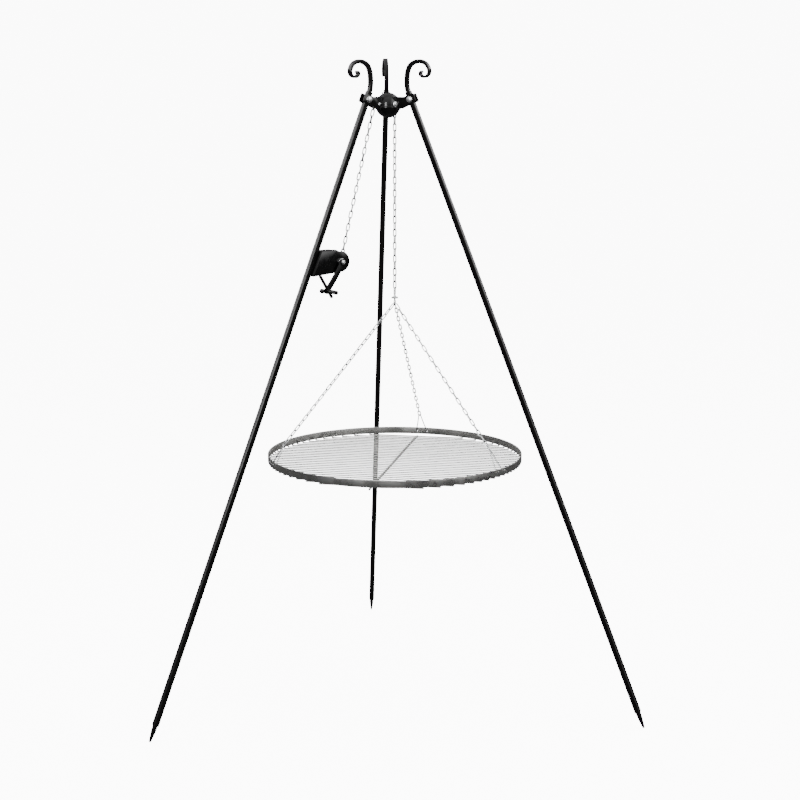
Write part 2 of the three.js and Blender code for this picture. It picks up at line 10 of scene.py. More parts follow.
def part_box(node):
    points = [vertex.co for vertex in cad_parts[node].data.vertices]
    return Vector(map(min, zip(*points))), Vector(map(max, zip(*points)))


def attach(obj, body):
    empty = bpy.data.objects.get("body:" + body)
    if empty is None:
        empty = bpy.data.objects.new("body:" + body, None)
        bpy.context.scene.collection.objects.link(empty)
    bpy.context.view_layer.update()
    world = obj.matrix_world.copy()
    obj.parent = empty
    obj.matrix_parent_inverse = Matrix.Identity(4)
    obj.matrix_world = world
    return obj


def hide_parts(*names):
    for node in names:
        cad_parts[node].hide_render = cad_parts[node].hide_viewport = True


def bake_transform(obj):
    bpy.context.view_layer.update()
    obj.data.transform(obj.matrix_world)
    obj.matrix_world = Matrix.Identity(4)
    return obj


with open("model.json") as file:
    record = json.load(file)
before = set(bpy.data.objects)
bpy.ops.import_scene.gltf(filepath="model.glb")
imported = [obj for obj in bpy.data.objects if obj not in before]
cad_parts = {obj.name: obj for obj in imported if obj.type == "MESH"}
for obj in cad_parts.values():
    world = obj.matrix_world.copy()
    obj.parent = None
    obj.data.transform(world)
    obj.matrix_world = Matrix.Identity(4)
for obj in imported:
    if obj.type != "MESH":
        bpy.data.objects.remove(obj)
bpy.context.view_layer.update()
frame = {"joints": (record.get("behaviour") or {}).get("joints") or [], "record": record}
random.seed(7)

TAU = 2 * math.pi
MM = 0.001
TANGENTIAL = Vector((0, 1, 0))

# ---- places, from the frame ----

JOINTS = {joint["name"]: joint for joint in frame["joints"]}
MOUNTS = {mount["name"]: mount for mount in frame["record"]["mounts"]}
LEGS = ("left", "right", "back")


def joint_at(name):
    return Vector(JOINTS[name]["pos_m"])


def middle(node):
    low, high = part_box(node)
    return (low + high) / 2


HUB = joint_at("pulley_spin")  # on the hub axis


def radius_of(point):
    return math.hypot(point[0] - HUB.x, point[1] - HUB.y)


def azimuth(point, centre=HUB):
    return math.atan2(point[1] - centre.y, point[0] - centre.x)


FEET = {leg: Vector(MOUNTS["foot_" + leg]["pos_m"]) for leg in LEGS}
RADIAL = {
    leg: Matrix.Translation((HUB.x, HUB.y, 0)) @ Matrix.Rotation(azimuth(foot), 4, "Z")
    for leg, foot in FEET.items()
}
FOOT_R = radius_of(FEET["back"])
BOLT_R = radius_of(middle("leg_bolt_back"))
BOLT_Z = middle("leg_bolt_back").z
LEAN = math.atan2(FOOT_R - BOLT_R, BOLT_Z)
LEG_LENGTH = math.hypot(FOOT_R - BOLT_R, BOLT_Z)
LEG = Matrix.Translation((BOLT_R, 0, BOLT_Z)) @ Matrix.Rotation(-LEAN, 4, "Y")

BALL_Z = (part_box("hub_bowl")[0].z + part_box("hub_dome")[1].z) / 2
BALL_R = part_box("hub_dome")[1].z - BALL_Z


def in_plane(point):
    """A point as (radius, height) in its leg's radial plane."""
    return radius_of(point), point.z


PULLEY = (0.0, HUB.z)
GUIDE = in_plane(joint_at("guide_spin"))
DRUM = in_plane(joint_at("crank_turn"))
CRANK_END = in_plane(joint_at("grip_spin"))
RIVET = in_plane(middle("crank_rivet"))
SWIVEL = joint_at("grate_swivel")
DROP_R = -radius_of(SWIVEL)

RIM_LOW, RIM_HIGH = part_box("grate_rim")
RIM_R = (RIM_HIGH.x - RIM_LOW.x) / 2
HANGERS = {leg: azimuth(middle("rim_hanger_" + leg), SWIVEL) for leg in LEGS}
SUPPORT_OFFSET = math.radians(2)  # from the back hanger to the support bar
ROD_AZIMUTH = HANGERS["back"] + SUPPORT_OFFSET  # the support bar's; the rods run across it

# ---- sizes ----

GAP = 0.3 * MM  # between a piece and the one that it is held against
SHARP_ANGLE = math.radians(32)  # faces that meet at more than this have a sharp edge

HEAD_SIDE = {"left": 1, "right": -1, "back": 1}  # side of the leg that its bolt head is on
TUBE = 15 * MM
TUBE_WALL = 1.4 * MM
TUBE_CORNER = 1.8 * MM
BORE_CORNER = 0.8 * MM
TUBE_TOP = 22 * MM  # above the bolt
BAR = 11.6 * MM
SPIKE_OUT = 46 * MM
SPIKE_POINT = 26 * MM
SPIKE_TIP = 4 * MM
SPIKE_INSERT = 28 * MM  # inside the tube

SCROLL_LINE = [  # centre line as (radius, height) in millimetres, above the tube
    (58.4, 1724), (57.4, 1745), (60.6, 1769), (71, 1786.5), (93, 1794.6), (114, 1788.5),
    (124.4, 1771), (120.5, 1757.5), (109, 1752.8), (100, 1757), (98.6, 1764), (103, 1767.5),
]
SCROLL_END = (6 * MM, 17 * MM)  # thickness and width of the flattened end

BALL_WALL = 2.5 * MM
PARTING = -4 * MM
ARM_GAP = 16.4 * MM
ARM_PLATE = 3 * MM
ARM_TOP = 23 * MM
ARM_LOW = -11 * MM
WEB = (25 * MM, 50 * MM)  # from and to, as radius
CHEEK_OUT = ARM_GAP / 2 + ARM_PLATE
M8 = {"shank": 4 * MM, "head": 7.5 * MM, "head_h": 5.5 * MM, "nut_h": 6.5 * MM, "pitch": 1.25 * MM}
WASHER_R = 8.2 * MM
WASHER_T = 1.2 * MM
AXLE_BORE = 4.4 * MM
PIN_R = 2.5 * MM
PIN_BORE = 2.9 * MM
PIN_HEAD = (3.8 * MM, 3 * MM)  # radius and thickness
SPACER = (6.3 * MM, 29.8 * MM)  # from and to, along the pulley's axle

LINK_PITCH = 18 * MM
LINK_WIDTH = 11 * MM
LINK_WIRE = 1.6 * MM
LINK_SWAY = 0.12  # how far a link may turn from its own angle
BRIDLE_WIDTH = 10 * MM
BRIDLE_WIRE = 1.45 * MM
PULLEY_PITCH = 22 * MM
GUIDE_PITCH = 8 * MM
DRUM_PITCH = 12 * MM
WOUND_TURNS = 3
WOUND_WIDTH = 19 * MM
WOUND_STEPS = 24  # points for each turn

SIDE_OUT = 20 * MM
SHEET = 3 * MM
NOSE_R = 28.5 * MM
TOP_FRONT = 14.5 * MM  # the top plate ends this far past the axle
TOP_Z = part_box("winch_housing")[1].z
BOTTOM_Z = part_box("winch_housing")[0].z
CRANK_Y = 25 * MM
CRANK_T = 4 * MM
CRANK_BOW = 2.5 * MM
CRANK_EDGE = 0.7 * MM  # the rounding of its edges
CRANK_NUT = {"r": 6.4 * MM, "bore": 4.2 * MM, "height": 5 * MM}
EAR_HALF = 5.5 * MM
CROSS_BAR = {"y": 35.5 * MM, "r": 4.4 * MM, "outer": (246 * MM, 1.223), "inner": (210.6 * MM, 1.1648)}
GRIP_Y = (42 * MM, 74 * MM)
GRIP_R = 5.6 * MM
CRANK_HALF = 8 * MM
RIVET_R = 6.6 * MM
RIVET_DOME = 4.2 * MM

RIM_T = 3 * MM
ROD_R = 2.1 * MM
ROD_COUNT = 31
ROD_PITCH = 22 * MM
SUPPORT_R = 3 * MM
HANGER_HALF = 15 * MM
HANGER_RISE = 62 * MM
HANGER_TILT = math.radians(62)
HANGER_WIRE = 1.6 * MM
HOLE_R = 2.6 * MM
EYE_WIRE = 2.2 * MM
SWIVEL_PLATE = 4 * MM

# ---- outlines ----


def arc(centre, radius, start, end, steps):
    """Points on an arc, as (x, y), with both ends."""
    turns = [start + (end - start) * i / steps for i in range(steps + 1)]
    return [(centre[0] + radius * math.cos(a), centre[1] + radius * math.sin(a)) for a in turns]


def fillet(points, radius, steps=4):
    """Rounds the corners of a closed outline. Corners on the axis x = 0 stay sharp."""
    rounded = []
    for i, corner in enumerate(points):
        here = Vector(corner)
        before = Vector(points[i - 1]) - here
        after = Vector(points[(i + 1) % len(points)]) - here
        reach = min(radius, 0.45 * before.length, 0.45 * after.length)
        if abs(here.x) < 1e-9 or before.angle(after, 0) > math.radians(176):
            rounded.append(tuple(here))
            continue
        start = here + before.normalized() * reach
        end = here + after.normalized() * reach
        for k in range(steps + 1):
            t = k / steps
            rounded.append(tuple(start * (1 - t) ** 2 + here * 2 * t * (1 - t) + end * t * t))
    return rounded


def rounded_rectangle(width, height, radius):
    w, h = width / 2, height / 2
    return fillet([(-w, -h), (w, -h), (w, h), (-w, h)], radius, 3)


def inset(outline, distance):
    """The outline moved inwards, corner by corner."""
    area = sum(a[0] * b[1] - b[0] * a[1] for a, b in zip(outline, outline[1:] + outline[:1]))
    side = 1 if area > 0 else -1
    moved = []
    for i, point in enumerate(outline):
        here = Vector(point)
        before = (here - Vector(outline[i - 1])).normalized()
        after = (Vector(outline[(i + 1) % len(outline)]) - here).normalized()
        n1 = Vector((-before.y, before.x)) * side
        n2 = Vector((-after.y, after.x)) * side
        moved.append(tuple(here + (n1 + n2) / max(1 + n1.dot(n2), 0.3) * distance))
    return moved


def spline(points, steps=6):
    """A smooth line through the points."""
    p = [2 * Vector(points[0]) - Vector(points[1])] + [Vector(q) for q in points]
    p.append(2 * p[-1] - p[-2])
    line = []
    for i in range(1, len(p) - 2):
        a, b, c, d = p[i - 1:i + 3]
        for k in range(steps):
            t = k / steps
            line.append(0.5 * (2 * b + (c - a) * t + (2 * a - 5 * b + 4 * c - d) * t * t
                               + (3 * b - a - 3 * c + d) * t ** 3))
    return line + [p[-2]]


def smoothstep(value, start, end):
    t = min(max((value - start) / (end - start), 0), 1)
    return t * t * (3 - 2 * t)


# ---- bodies: each is a list of points and a list of faces ----


def loft(rings, closed=False):
    """Quads between rings of points. An open loft gets end caps."""
    count = len(rings[0])
    points = [Vector(p) for ring in rings for p in ring]
    faces = []
    for i in range(len(rings) if closed else len(rings) - 1):
        a, b = i * count, (i + 1) % len(rings) * count
        for j in range(count):
            k = (j + 1) % count
            faces.append((a + j, a + k, b + k, b + j))
    if not closed:
        faces.append(tuple(reversed(range(count))))
        faces.append(tuple(range(len(points) - count, len(points))))
    return points, faces


def moved(body, matrix):
    return [matrix @ p for p in body[0]], body[1]


def turned(profile, at, segments=48):
    """A turned body about the tangential axis through `at`. The profile is a list of (radius, y)."""
    rings = []
    for i in range(segments):
        a = TAU * i / segments
        rings.append([(at[0] + r * math.cos(a), y, at[1] + r * math.sin(a)) for r, y in profile])
    return loft(rings, closed=True)


def plate(outline, y0, y1, edge=0.5 * MM):
    """A plate in the radial plane, from y0 to y1, with its edges rounded."""
    steps = [(y0, edge), (y0 + 0.3 * edge, 0.3 * edge), (y0 + edge, 0),
             (y1 - edge, 0), (y1 - 0.3 * edge, 0.3 * edge), (y1, edge)]
    return loft([[(r, y, z) for r, z in inset(outline, d)] for y, d in steps])


def frames_along(path, closed=False):
    """Two directions across the path at each point, turning as little as they can."""
    count = len(path)
    across = None
    frames = []
    for i, point in enumerate(path):
        ahead = path[(i + 1) % count] if closed or i < count - 1 else point
        behind = path[i - 1] if closed or i > 0 else point
        along = (ahead - behind).normalized()
        if across is None:
            across = along.orthogonal().normalized()
        across = (across - along * across.dot(along)).normalized()
        frames.append((along, across, along.cross(across)))
    return frames


def wire(path, radius, sides=12, closed=False):
    """A round wire along a path, with rounded ends if it is open."""
    path = [Vector(p) for p in path]
    frames = frames_along(path, closed)
    stations = [(p, f, radius) for p, f in zip(path, frames)]
    if not closed:
        caps = [(math.cos(a), math.sin(a)) for a in (math.radians(d) for d in (8, 35, 65))]
        head = [(path[0] - frames[0][0] * radius * c, frames[0], radius * s) for c, s in caps]
        tail = [(path[-1] + frames[-1][0] * radius * c, frames[-1], radius * s) for c, s in caps]
        stations = head + stations + tail[::-1]
    turns = [TAU * j / sides for j in range(sides)]
    rings = [[p + (f[1] * math.cos(a) + f[2] * math.sin(a)) * r for a in turns] for p, f, r in stations]
    return loft(rings, closed)


def bead(point, size, seed):
    """A small lump of weld."""
    ball = bmesh.new()
    bmesh.ops.create_icosphere(ball, subdivisions=2, radius=1)
    rough = random.Random(seed)
    points = []
    for v in ball.verts:
        swell = 1 + rough.uniform(-0.12, 0.12)
        points.append(Vector(point) + Vector([v.co[k] * size[k] * swell for k in range(3)]))
    faces = [tuple(v.index for v in f.verts) for f in ball.faces]
    ball.free()
    return points, faces


def hexagonal(at, y0, y1, radius, bore=0.0):
    """A hexagon with chamfered corners about the tangential axis: a nut, or a bolt head without a bore."""
    flat = radius * math.cos(math.radians(30))
    turns = [TAU * i / 48 for i in range(48)]
    corner = [flat / math.cos((a % (TAU / 6)) - TAU / 12) for a in turns]
    toward = 1 if y1 > y0 else -1
    chamfer = [(c - 0.94 * flat) * math.tan(math.radians(30)) * toward for c in corner]

    def ring(radii, heights):
        return [(at[0] + r * math.cos(a), h, at[1] + r * math.sin(a))
                for r, h, a in zip(radii, heights, turns)]

    face = [0.94 * flat] * 48
    rings = [ring(face, [y0] * 48), ring(corner, [y0 + c for c in chamfer]),
             ring(corner, [y1 - c for c in chamfer]), ring(face, [y1] * 48)]
    if bore:
        rings += [ring([bore] * 48, [y1] * 48), ring([bore] * 48, [y0] * 48)]
    return loft(rings, closed=bool(bore))


def thread(at, y0, y1, radius, pitch):
    """A threaded end about the tangential axis, with a chamfered tip at y1."""
    segments, steps = 24, max(8, round(abs(y1 - y0) / pitch * 6))
    depth = 0.3 * pitch
    rings = []
    for i in range(steps + 1):
        y = y0 + (y1 - y0) * i / steps
        tip = min(1, 0.8 + abs(y1 - y) / radius * 0.8)
        ring = []
        for j in range(segments):
            a = TAU * j / segments
            ridge = abs((abs(y) / pitch + j / segments) % 1 - 0.5) * 2
            r = (radius - depth * ridge) * tip
            ring.append((at[0] + r * math.cos(a), y, at[1] + r * math.sin(a)))
        rings.append(ring)
    return loft(rings)


# ---- materials ----


def new_material(name, base, metallic, roughness):
    material = bpy.data.materials.new(name)
    material.use_nodes = True
    nodes, links = material.node_tree.nodes, material.node_tree.links
    shader = nodes["Principled BSDF"]
    shader.inputs["Metallic"].default_value = metallic
    shader.inputs["Base Color"].default_value = (*base, 1)
    shader.inputs["Roughness"].default_value = roughness
    return material, nodes, links, shader


def pattern(nodes, links, scale, detail=4.0, stretch=(1, 1, 1), turn=0.0):
    """A noise pattern in the object's own space, stretched along its axes."""
    place = nodes.new("ShaderNodeTexCoord")
    mapping = nodes.new("ShaderNodeMapping")
    mapping.inputs["Scale"].default_value = stretch
    mapping.inputs["Rotation"].default_value = (0, 0, turn)
    noise = nodes.new("ShaderNodeTexNoise")
    noise.inputs["Scale"].default_value = scale
    noise.inputs["Detail"].default_value = detail
    links.new(place.outputs["Object"], mapping.inputs["Vector"])
    links.new(mapping.outputs["Vector"], noise.inputs["Vector"])
    return noise


def ramp_to(nodes, links, source, target, low, high, start=0.35, end=0.65):
    """Spreads a pattern between two colours or two grey values, into a shader's socket."""
    ramp = nodes.new("ShaderNodeValToRGB")
    stops = ramp.color_ramp.elements
    stops[0].position, stops[1].position = start, end
    stops[0].color = (*low, 1) if isinstance(low, tuple) else (low, low, low, 1)
    stops[1].color = (*high, 1) if isinstance(high, tuple) else (high, high, high, 1)
    links.new(source.outputs["Fac"], ramp.inputs["Fac"])
    links.new(ramp.outputs["Color"], target)


def bump(nodes, links, shader, source, strength, distance):
    node = nodes.new("ShaderNodeBump")
    node.inputs["Strength"].default_value = strength
    node.inputs["Distance"].default_value = distance
    links.new(source.outputs["Fac"], node.inputs["Height"])
    links.new(node.outputs["Normal"], shader.inputs["Normal"])


def black_enamel():
    """Gloss black paint with a little orange peel."""
    material, nodes, links, shader = new_material("black_enamel", (0.004, 0.004, 0.0045), 0.0, 0.16)
    shader.inputs["Specular IOR Level"].default_value = 0.25
    shader.inputs["Coat Weight"].default_value = 0.08
    shader.inputs["Coat Roughness"].default_value = 0.08
    tone = pattern(nodes, links, 30, 6)
    dark, light = (0.0015, 0.0015, 0.0017), (0.0032, 0.0031, 0.003)
    ramp_to(nodes, links, tone, shader.inputs["Base Color"], dark, light)
    dust = pattern(nodes, links, 90, 5)
    ramp_to(nodes, links, dust, shader.inputs["Roughness"], 0.11, 0.24)
    peel = pattern(nodes, links, 420, 2)
    bump(nodes, links, shader, peel, 0.12, 0.0004)
    return material


def zinc_hardware():
    """Bright zinc plate, faintly clouded."""
    material, nodes, links, shader = new_material("zinc_hardware", (0.78, 0.79, 0.8), 1.0, 0.25)
    cloud = pattern(nodes, links, 240, 5)
    ramp_to(nodes, links, cloud, shader.inputs["Base Color"], (0.64, 0.65, 0.67), (0.86, 0.87, 0.86))
    haze = pattern(nodes, links, 500, 4)
    ramp_to(nodes, links, haze, shader.inputs["Roughness"], 0.18, 0.38)
    bump(nodes, links, shader, haze, 0.1, 0.0002)
    return material


def zinc_chain():
    """Zinc plate on rolled chain wire: duller, with darker spots."""
    material, nodes, links, shader = new_material("zinc_chain", (0.66, 0.67, 0.68), 1.0, 0.3)
    cloud = pattern(nodes, links, 180, 6)
    ramp_to(nodes, links, cloud, shader.inputs["Base Color"], (0.26, 0.27, 0.28), (0.6, 0.61, 0.61))
    haze = pattern(nodes, links, 700, 4)
    ramp_to(nodes, links, haze, shader.inputs["Roughness"], 0.2, 0.42)
    bump(nodes, links, shader, haze, 0.15, 0.0002)
    return material


def brushed_steel(name, dark, light, stretch, turn=0.0):
    """Stainless steel with fine lines along the surface's long direction."""
    material, nodes, links, shader = new_material(name, light, 1.0, 0.28)
    lines = pattern(nodes, links, 1, 5, stretch, turn)
    ramp_to(nodes, links, lines, shader.inputs["Base Color"], dark, light, 0.3, 0.7)
    cloud = pattern(nodes, links, 25, 5)
    ramp_to(nodes, links, cloud, shader.inputs["Roughness"], 0.2, 0.36)
    bump(nodes, links, shader, lines, 0.2, 0.0001)
    return material


def brass():
    """Turned brass with fine rings from the tool."""
    material, nodes, links, shader = new_material("brass", (0.72, 0.52, 0.22), 1.0, 0.3)
    tone = pattern(nodes, links, 160, 5)
    ramp_to(nodes, links, tone, shader.inputs["Base Color"], (0.5, 0.34, 0.13), (0.78, 0.58, 0.27))
    rings = pattern(nodes, links, 900, 3)
    ramp_to(nodes, links, rings, shader.inputs["Roughness"], 0.22, 0.42)
    bump(nodes, links, shader, rings, 0.15, 0.0002)
    return material


ENAMEL = black_enamel()
ZINC = zinc_hardware()
CHAIN = zinc_chain()
BAND = brushed_steel("band_steel", (0.42, 0.42, 0.41), (0.62, 0.62, 0.61), (40, 40, 2600))
RODS = brushed_steel("rod_steel", (0.17, 0.17, 0.165), (0.36, 0.36, 0.35), (2600, 40, 2600), -ROD_AZIMUTH)
BRASS = brass()
SLOTS = {
    "black_enamel": ENAMEL,
    "zinc_hardware": ZINC,
    "zinc_chain": CHAIN,
    "stainless_steel": BAND,
    "brass": BRASS,
}

# ---- pieces ----


def to_object(name, bodies, material):
    """One mesh object from closed bodies, smooth but for its sharp edges."""
    mesh = bpy.data.meshes.new(name)
    work = bmesh.new()
    for points, faces in bodies:
        made = [work.verts.new(p) for p in points]
        for face in faces:
            work.faces.new([made[i] for i in face])
    bmesh.ops.remove_doubles(work, verts=work.verts, dist=1e-7)
    bmesh.ops.dissolve_degenerate(work, edges=work.edges, dist=1e-8)
    bmesh.ops.recalc_face_normals(work, faces=work.faces)
    shade(work)
    work.to_mesh(mesh)
    work.free()
    mesh.materials.append(material)
    obj = bpy.data.objects.new(name, mesh)
    bpy.context.scene.collection.objects.link(obj)
    return obj


def shade(work):
    for face in work.faces:
        face.smooth = True
    for edge in work.edges:
        edge.smooth = edge.is_manifold and edge.calc_face_angle(0) < SHARP_ANGLE


def carve(obj, cutters):
    """Cuts closed bodies out of an object."""
    tool = to_object(obj.name + "_cutter", cutters, obj.data.materials[0])
    cut = obj.modifiers.new("cut", "BOOLEAN")
    cut.operation = "DIFFERENCE"
    cut.solver = "EXACT"
    cut.use_self = True
    cut.object = tool
    graph = bpy.context.evaluated_depsgraph_get()
    mesh = bpy.data.meshes.new_from_object(obj.evaluated_get(graph))
    obj.modifiers.clear()
    work = bmesh.new()
    work.from_mesh(mesh)
    shade(work)
    work.to_mesh(mesh)
    work.free()
    mesh.name = obj.name
    obj.data = mesh
    bpy.data.objects.remove(tool)


def stand_for(obj, body, slot, *nodes):
    """The object rides on a body and takes the place of CAD nodes."""
    if body:
        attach(obj, body)
    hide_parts(*nodes)
    return obj


def piece(name, bodies, body, slot, *nodes, matrix=None, material=None):
    """A finished piece. It stands for the CAD node `name` unless other nodes are given."""
    placed = [moved(b, matrix) for b in bodies] if matrix else bodies
    obj = to_object("v_" + name, placed, material or SLOTS[slot])
    return stand_for(obj, body, slot, *(nodes or [name]))


# ---- legs ----


def leg_tube(leg):
    low, high = SPIKE_OUT - LEG_LENGTH, TUBE_TOP
    outer = rounded_rectangle(TUBE, TUBE, TUBE_CORNER)
    inner = rounded_rectangle(TUBE - 2 * TUBE_WALL, TUBE - 2 * TUBE_WALL, BORE_CORNER)
    chamfer = 0.4 * MM
    sections = [(inner, low), (inset(outer, chamfer), low), (outer, low + chamfer),
                (outer, high - chamfer), (inset(outer, chamfer), high), (inner, high)]
    tube = loft([[(x, y, z) for x, y in outline] for outline, z in sections], closed=True)
    piece("leg_tube_" + leg, [tube], "frame", "black_enamel", matrix=RADIAL[leg] @ LEG)


def foot_spike(leg):
    tip = -LEG_LENGTH
    point = tip + SPIKE_POINT
    tube_end = tip + SPIKE_OUT
    sections = [  # (side, corner, height)
        (SPIKE_TIP, 0.5 * MM, tip),
        (SPIKE_TIP + 0.9 * MM, 0.6 * MM, tip + 1.2 * MM),
        (BAR - 2.2 * MM, 1.0 * MM, point - 1.5 * MM),
        (BAR - 1.4 * MM, 1.2 * MM, point + 1.2 * MM),
        (BAR - 0.3 * MM, 1.2 * MM, tube_end - 2 * MM),
        (BAR - 0.2 * MM, 1.2 * MM, tube_end + SPIKE_INSERT),
    ]
    rings = [[(x, y, z) for x, y in rounded_rectangle(side, side, corner)] for side, corner, z in sections]
    points, faces = moved(loft(rings), LEG)
    grounded = [Vector((p.x, p.y, max(p.z, 0))) for p in points]
    piece("foot_spike_" + leg, [(grounded, faces)], "frame", "black_enamel", matrix=RADIAL[leg])


def scroll(leg):
    """Square bar, flattened and widened towards its curled end."""
    start = [LEG @ Vector((0, 0, s * MM)) for s in (6, 12, 18)]
    line = spline([(p.x, p.z) for p in start] + [(r * MM, z * MM) for r, z in SCROLL_LINE], 8)
    lengths = [0.0]
    for a, b in zip(line, line[1:]):
        lengths.append(lengths[-1] + (b - a).length)
    rings = []
    for i, (at, length) in enumerate(zip(line, lengths)):
        u = length / lengths[-1]
        along = (line[min(i + 1, len(line) - 1)] - line[max(i - 1, 0)]).normalized()
        out = Vector((-along.y, along.x))
        thick = BAR + (SCROLL_END[0] - BAR) * smoothstep(u, 0.5, 0.85)
        wide = BAR + (SCROLL_END[1] - BAR) * smoothstep(u, 0.45, 0.8)
        section = rounded_rectangle(thick, wide, min(1.5 * MM, 0.4 * thick))
        rings.append([(at.x + out.x * s, w, at.y + out.y * s) for s, w in section])
    piece("scroll_" + leg, [loft(rings)], "frame", "black_enamel", matrix=RADIAL[leg])


# ---- hub ----


def ball_shell(upper):
    """A pressed half of the ball, with a rolled lip at the parting line."""
    sign = 1 if upper else -1
    edge = PARTING + sign * 0.15 * MM
    start = math.asin(edge / BALL_R)
    inner = BALL_R - BALL_WALL
    outer_line = arc((0, 0), BALL_R, start, sign * math.pi / 2, 24)
    inner_line = arc((0, 0), inner, math.asin(edge / inner), sign * math.pi / 2, 24)[::-1]
    lip = [(inner + 0.2 * MM, edge), (BALL_R + 0.5 * MM, edge), (BALL_R + 0.7 * MM, edge + sign * 1.0 * MM),
           (BALL_R + 0.1 * MM, edge + sign * 2.4 * MM)]
    profile = lip + [p for p in outer_line if abs(p[1] - edge) > 2.6 * MM] + inner_line[:-1]
    rings = []
    for i in range(96):
        a = TAU * i / 96
        rings.append([(abs(r) * math.cos(a), abs(r) * math.sin(a), BALL_Z + z) for r, z in profile])
    return loft(rings, closed=True)


def block(x, y, z):
    corners = [(x[0], y[0]), (x[1], y[0]), (x[1], y[1]), (x[0], y[1])]
    return loft([[(px, py, height) for px, py in corners] for height in z])


def ball():
    beyond = 60 * MM  # well outside the ball
    to_guide = block((18 * MM, beyond), (-8 * MM, 8 * MM), (BALL_Z - 12 * MM, BALL_Z + 24 * MM))
    axle = turned([(0, -beyond), (AXLE_BORE, -beyond), (AXLE_BORE, beyond), (0, beyond)], PULLEY, 24)
    drop_slot = (DROP_R - 16 * MM, DROP_R + 6.5 * MM)
    to_drop = block(drop_slot, (-7 * MM, 7 * MM), (BALL_Z - beyond, BALL_Z - 1 * MM))
    openings = {"hub_dome": [to_guide, axle], "hub_bowl": [to_guide, to_drop]}
    for name, cutters in openings.items():
        obj = to_object("v_" + name, [ball_shell(upper=name == "hub_dome")], ENAMEL)
        carve(obj, cutters)
        obj.data.transform(RADIAL["left"])
        stand_for(obj, "frame", "black_enamel", name)


def cheek_outline():
    """The cheek's outline as (radius, height), following the ball at its inner end."""
    section = math.sqrt(BALL_R ** 2 - (ARM_GAP / 2) ** 2) - 1.2 * MM
    heights = [ARM_TOP, 19 * MM, 14 * MM, 8 * MM, 2 * MM, -4 * MM, ARM_LOW]
    inner = [(math.sqrt(section ** 2 - h * h), BALL_Z + h) for h in heights]

    def by_bolt(across, along):
        p = LEG @ Vector((across * MM, 0, along * MM))
        return p.x, p.z

    outer = [(37 * MM, BALL_Z + ARM_LOW), by_bolt(-15, -12), by_bolt(16, -12), by_bolt(16, 12),
             by_bolt(-13, 12), (WEB[1], BALL_Z + ARM_TOP)]
    return inner + fillet(outer, 4 * MM, 4)


def hub_arm(leg):
    outline = cheek_outline()
    bodies = [plate(outline, side * ARM_GAP / 2, side * CHEEK_OUT, side * 0.6 * MM) for side in (1, -1)]
    web = [(WEB[0], -CHEEK_OUT), (WEB[1], -CHEEK_OUT), (WEB[1], CHEEK_OUT), (WEB[0], CHEEK_OUT)]
    top = BALL_Z + ARM_TOP
    low = top - ARM_PLATE
    heights = [(low, 0.4 * MM), (low + 0.5 * MM, 0), (top - 0.8 * MM, 0), (top, 0.8 * MM)]
    bodies.append(loft([[(x, y, z) for x, y in inset(web, d)] for z, d in heights]))
    for side in (1, -1):  # the weld between cheek and ball
        y = side * CHEEK_OUT
        reach = math.sqrt(BALL_R ** 2 - y * y)
        for i in range(15):
            h = (19 - 2.1 * i) * MM
            r = math.sqrt(reach * reach - h * h) + 0.5 * MM
            bodies.append(bead((r, y, BALL_Z + h), (1.5 * MM, 1.3 * MM, 1.7 * MM), i))
    piece("hub_arm_" + leg, bodies, "frame", "black_enamel", matrix=RADIAL[leg])


def washer(at, y0, y1, inner, outer):
    profile = fillet([(inner, y0), (outer, y0), (outer, y1), (inner, y1)], 0.4 * MM, 3)
    return turned(profile, at, 40)


def leg_fastener(leg):
    at = (BOLT_R, BOLT_Z)
    side = HEAD_SIDE[leg]
    seat = side * (CHEEK_OUT + 0.1 * MM)
    shank = M8["shank"]
    head = [
        washer(at, seat, seat + side * WASHER_T, shank, WASHER_R),
        hexagonal(at, seat + side * WASHER_T, seat + side * (WASHER_T + M8["head_h"]), M8["head"]),
        turned([(0, seat), (shank, seat), (shank, -seat), (0, -seat)], at, 24),
        thread(at, -seat, -seat - side * (M8["nut_h"] + 3 * MM), shank, M8["pitch"]),
    ]
    piece("leg_bolt_" + leg, head, "frame", "zinc_hardware", matrix=RADIAL[leg])
    nut_at = -seat - side * 0.2 * MM
    nut = [hexagonal(at, nut_at, nut_at - side * M8["nut_h"], M8["head"], shank + 0.2 * MM)]
    piece("leg_nut_" + leg, nut, "frame", "zinc_hardware", matrix=RADIAL[leg])


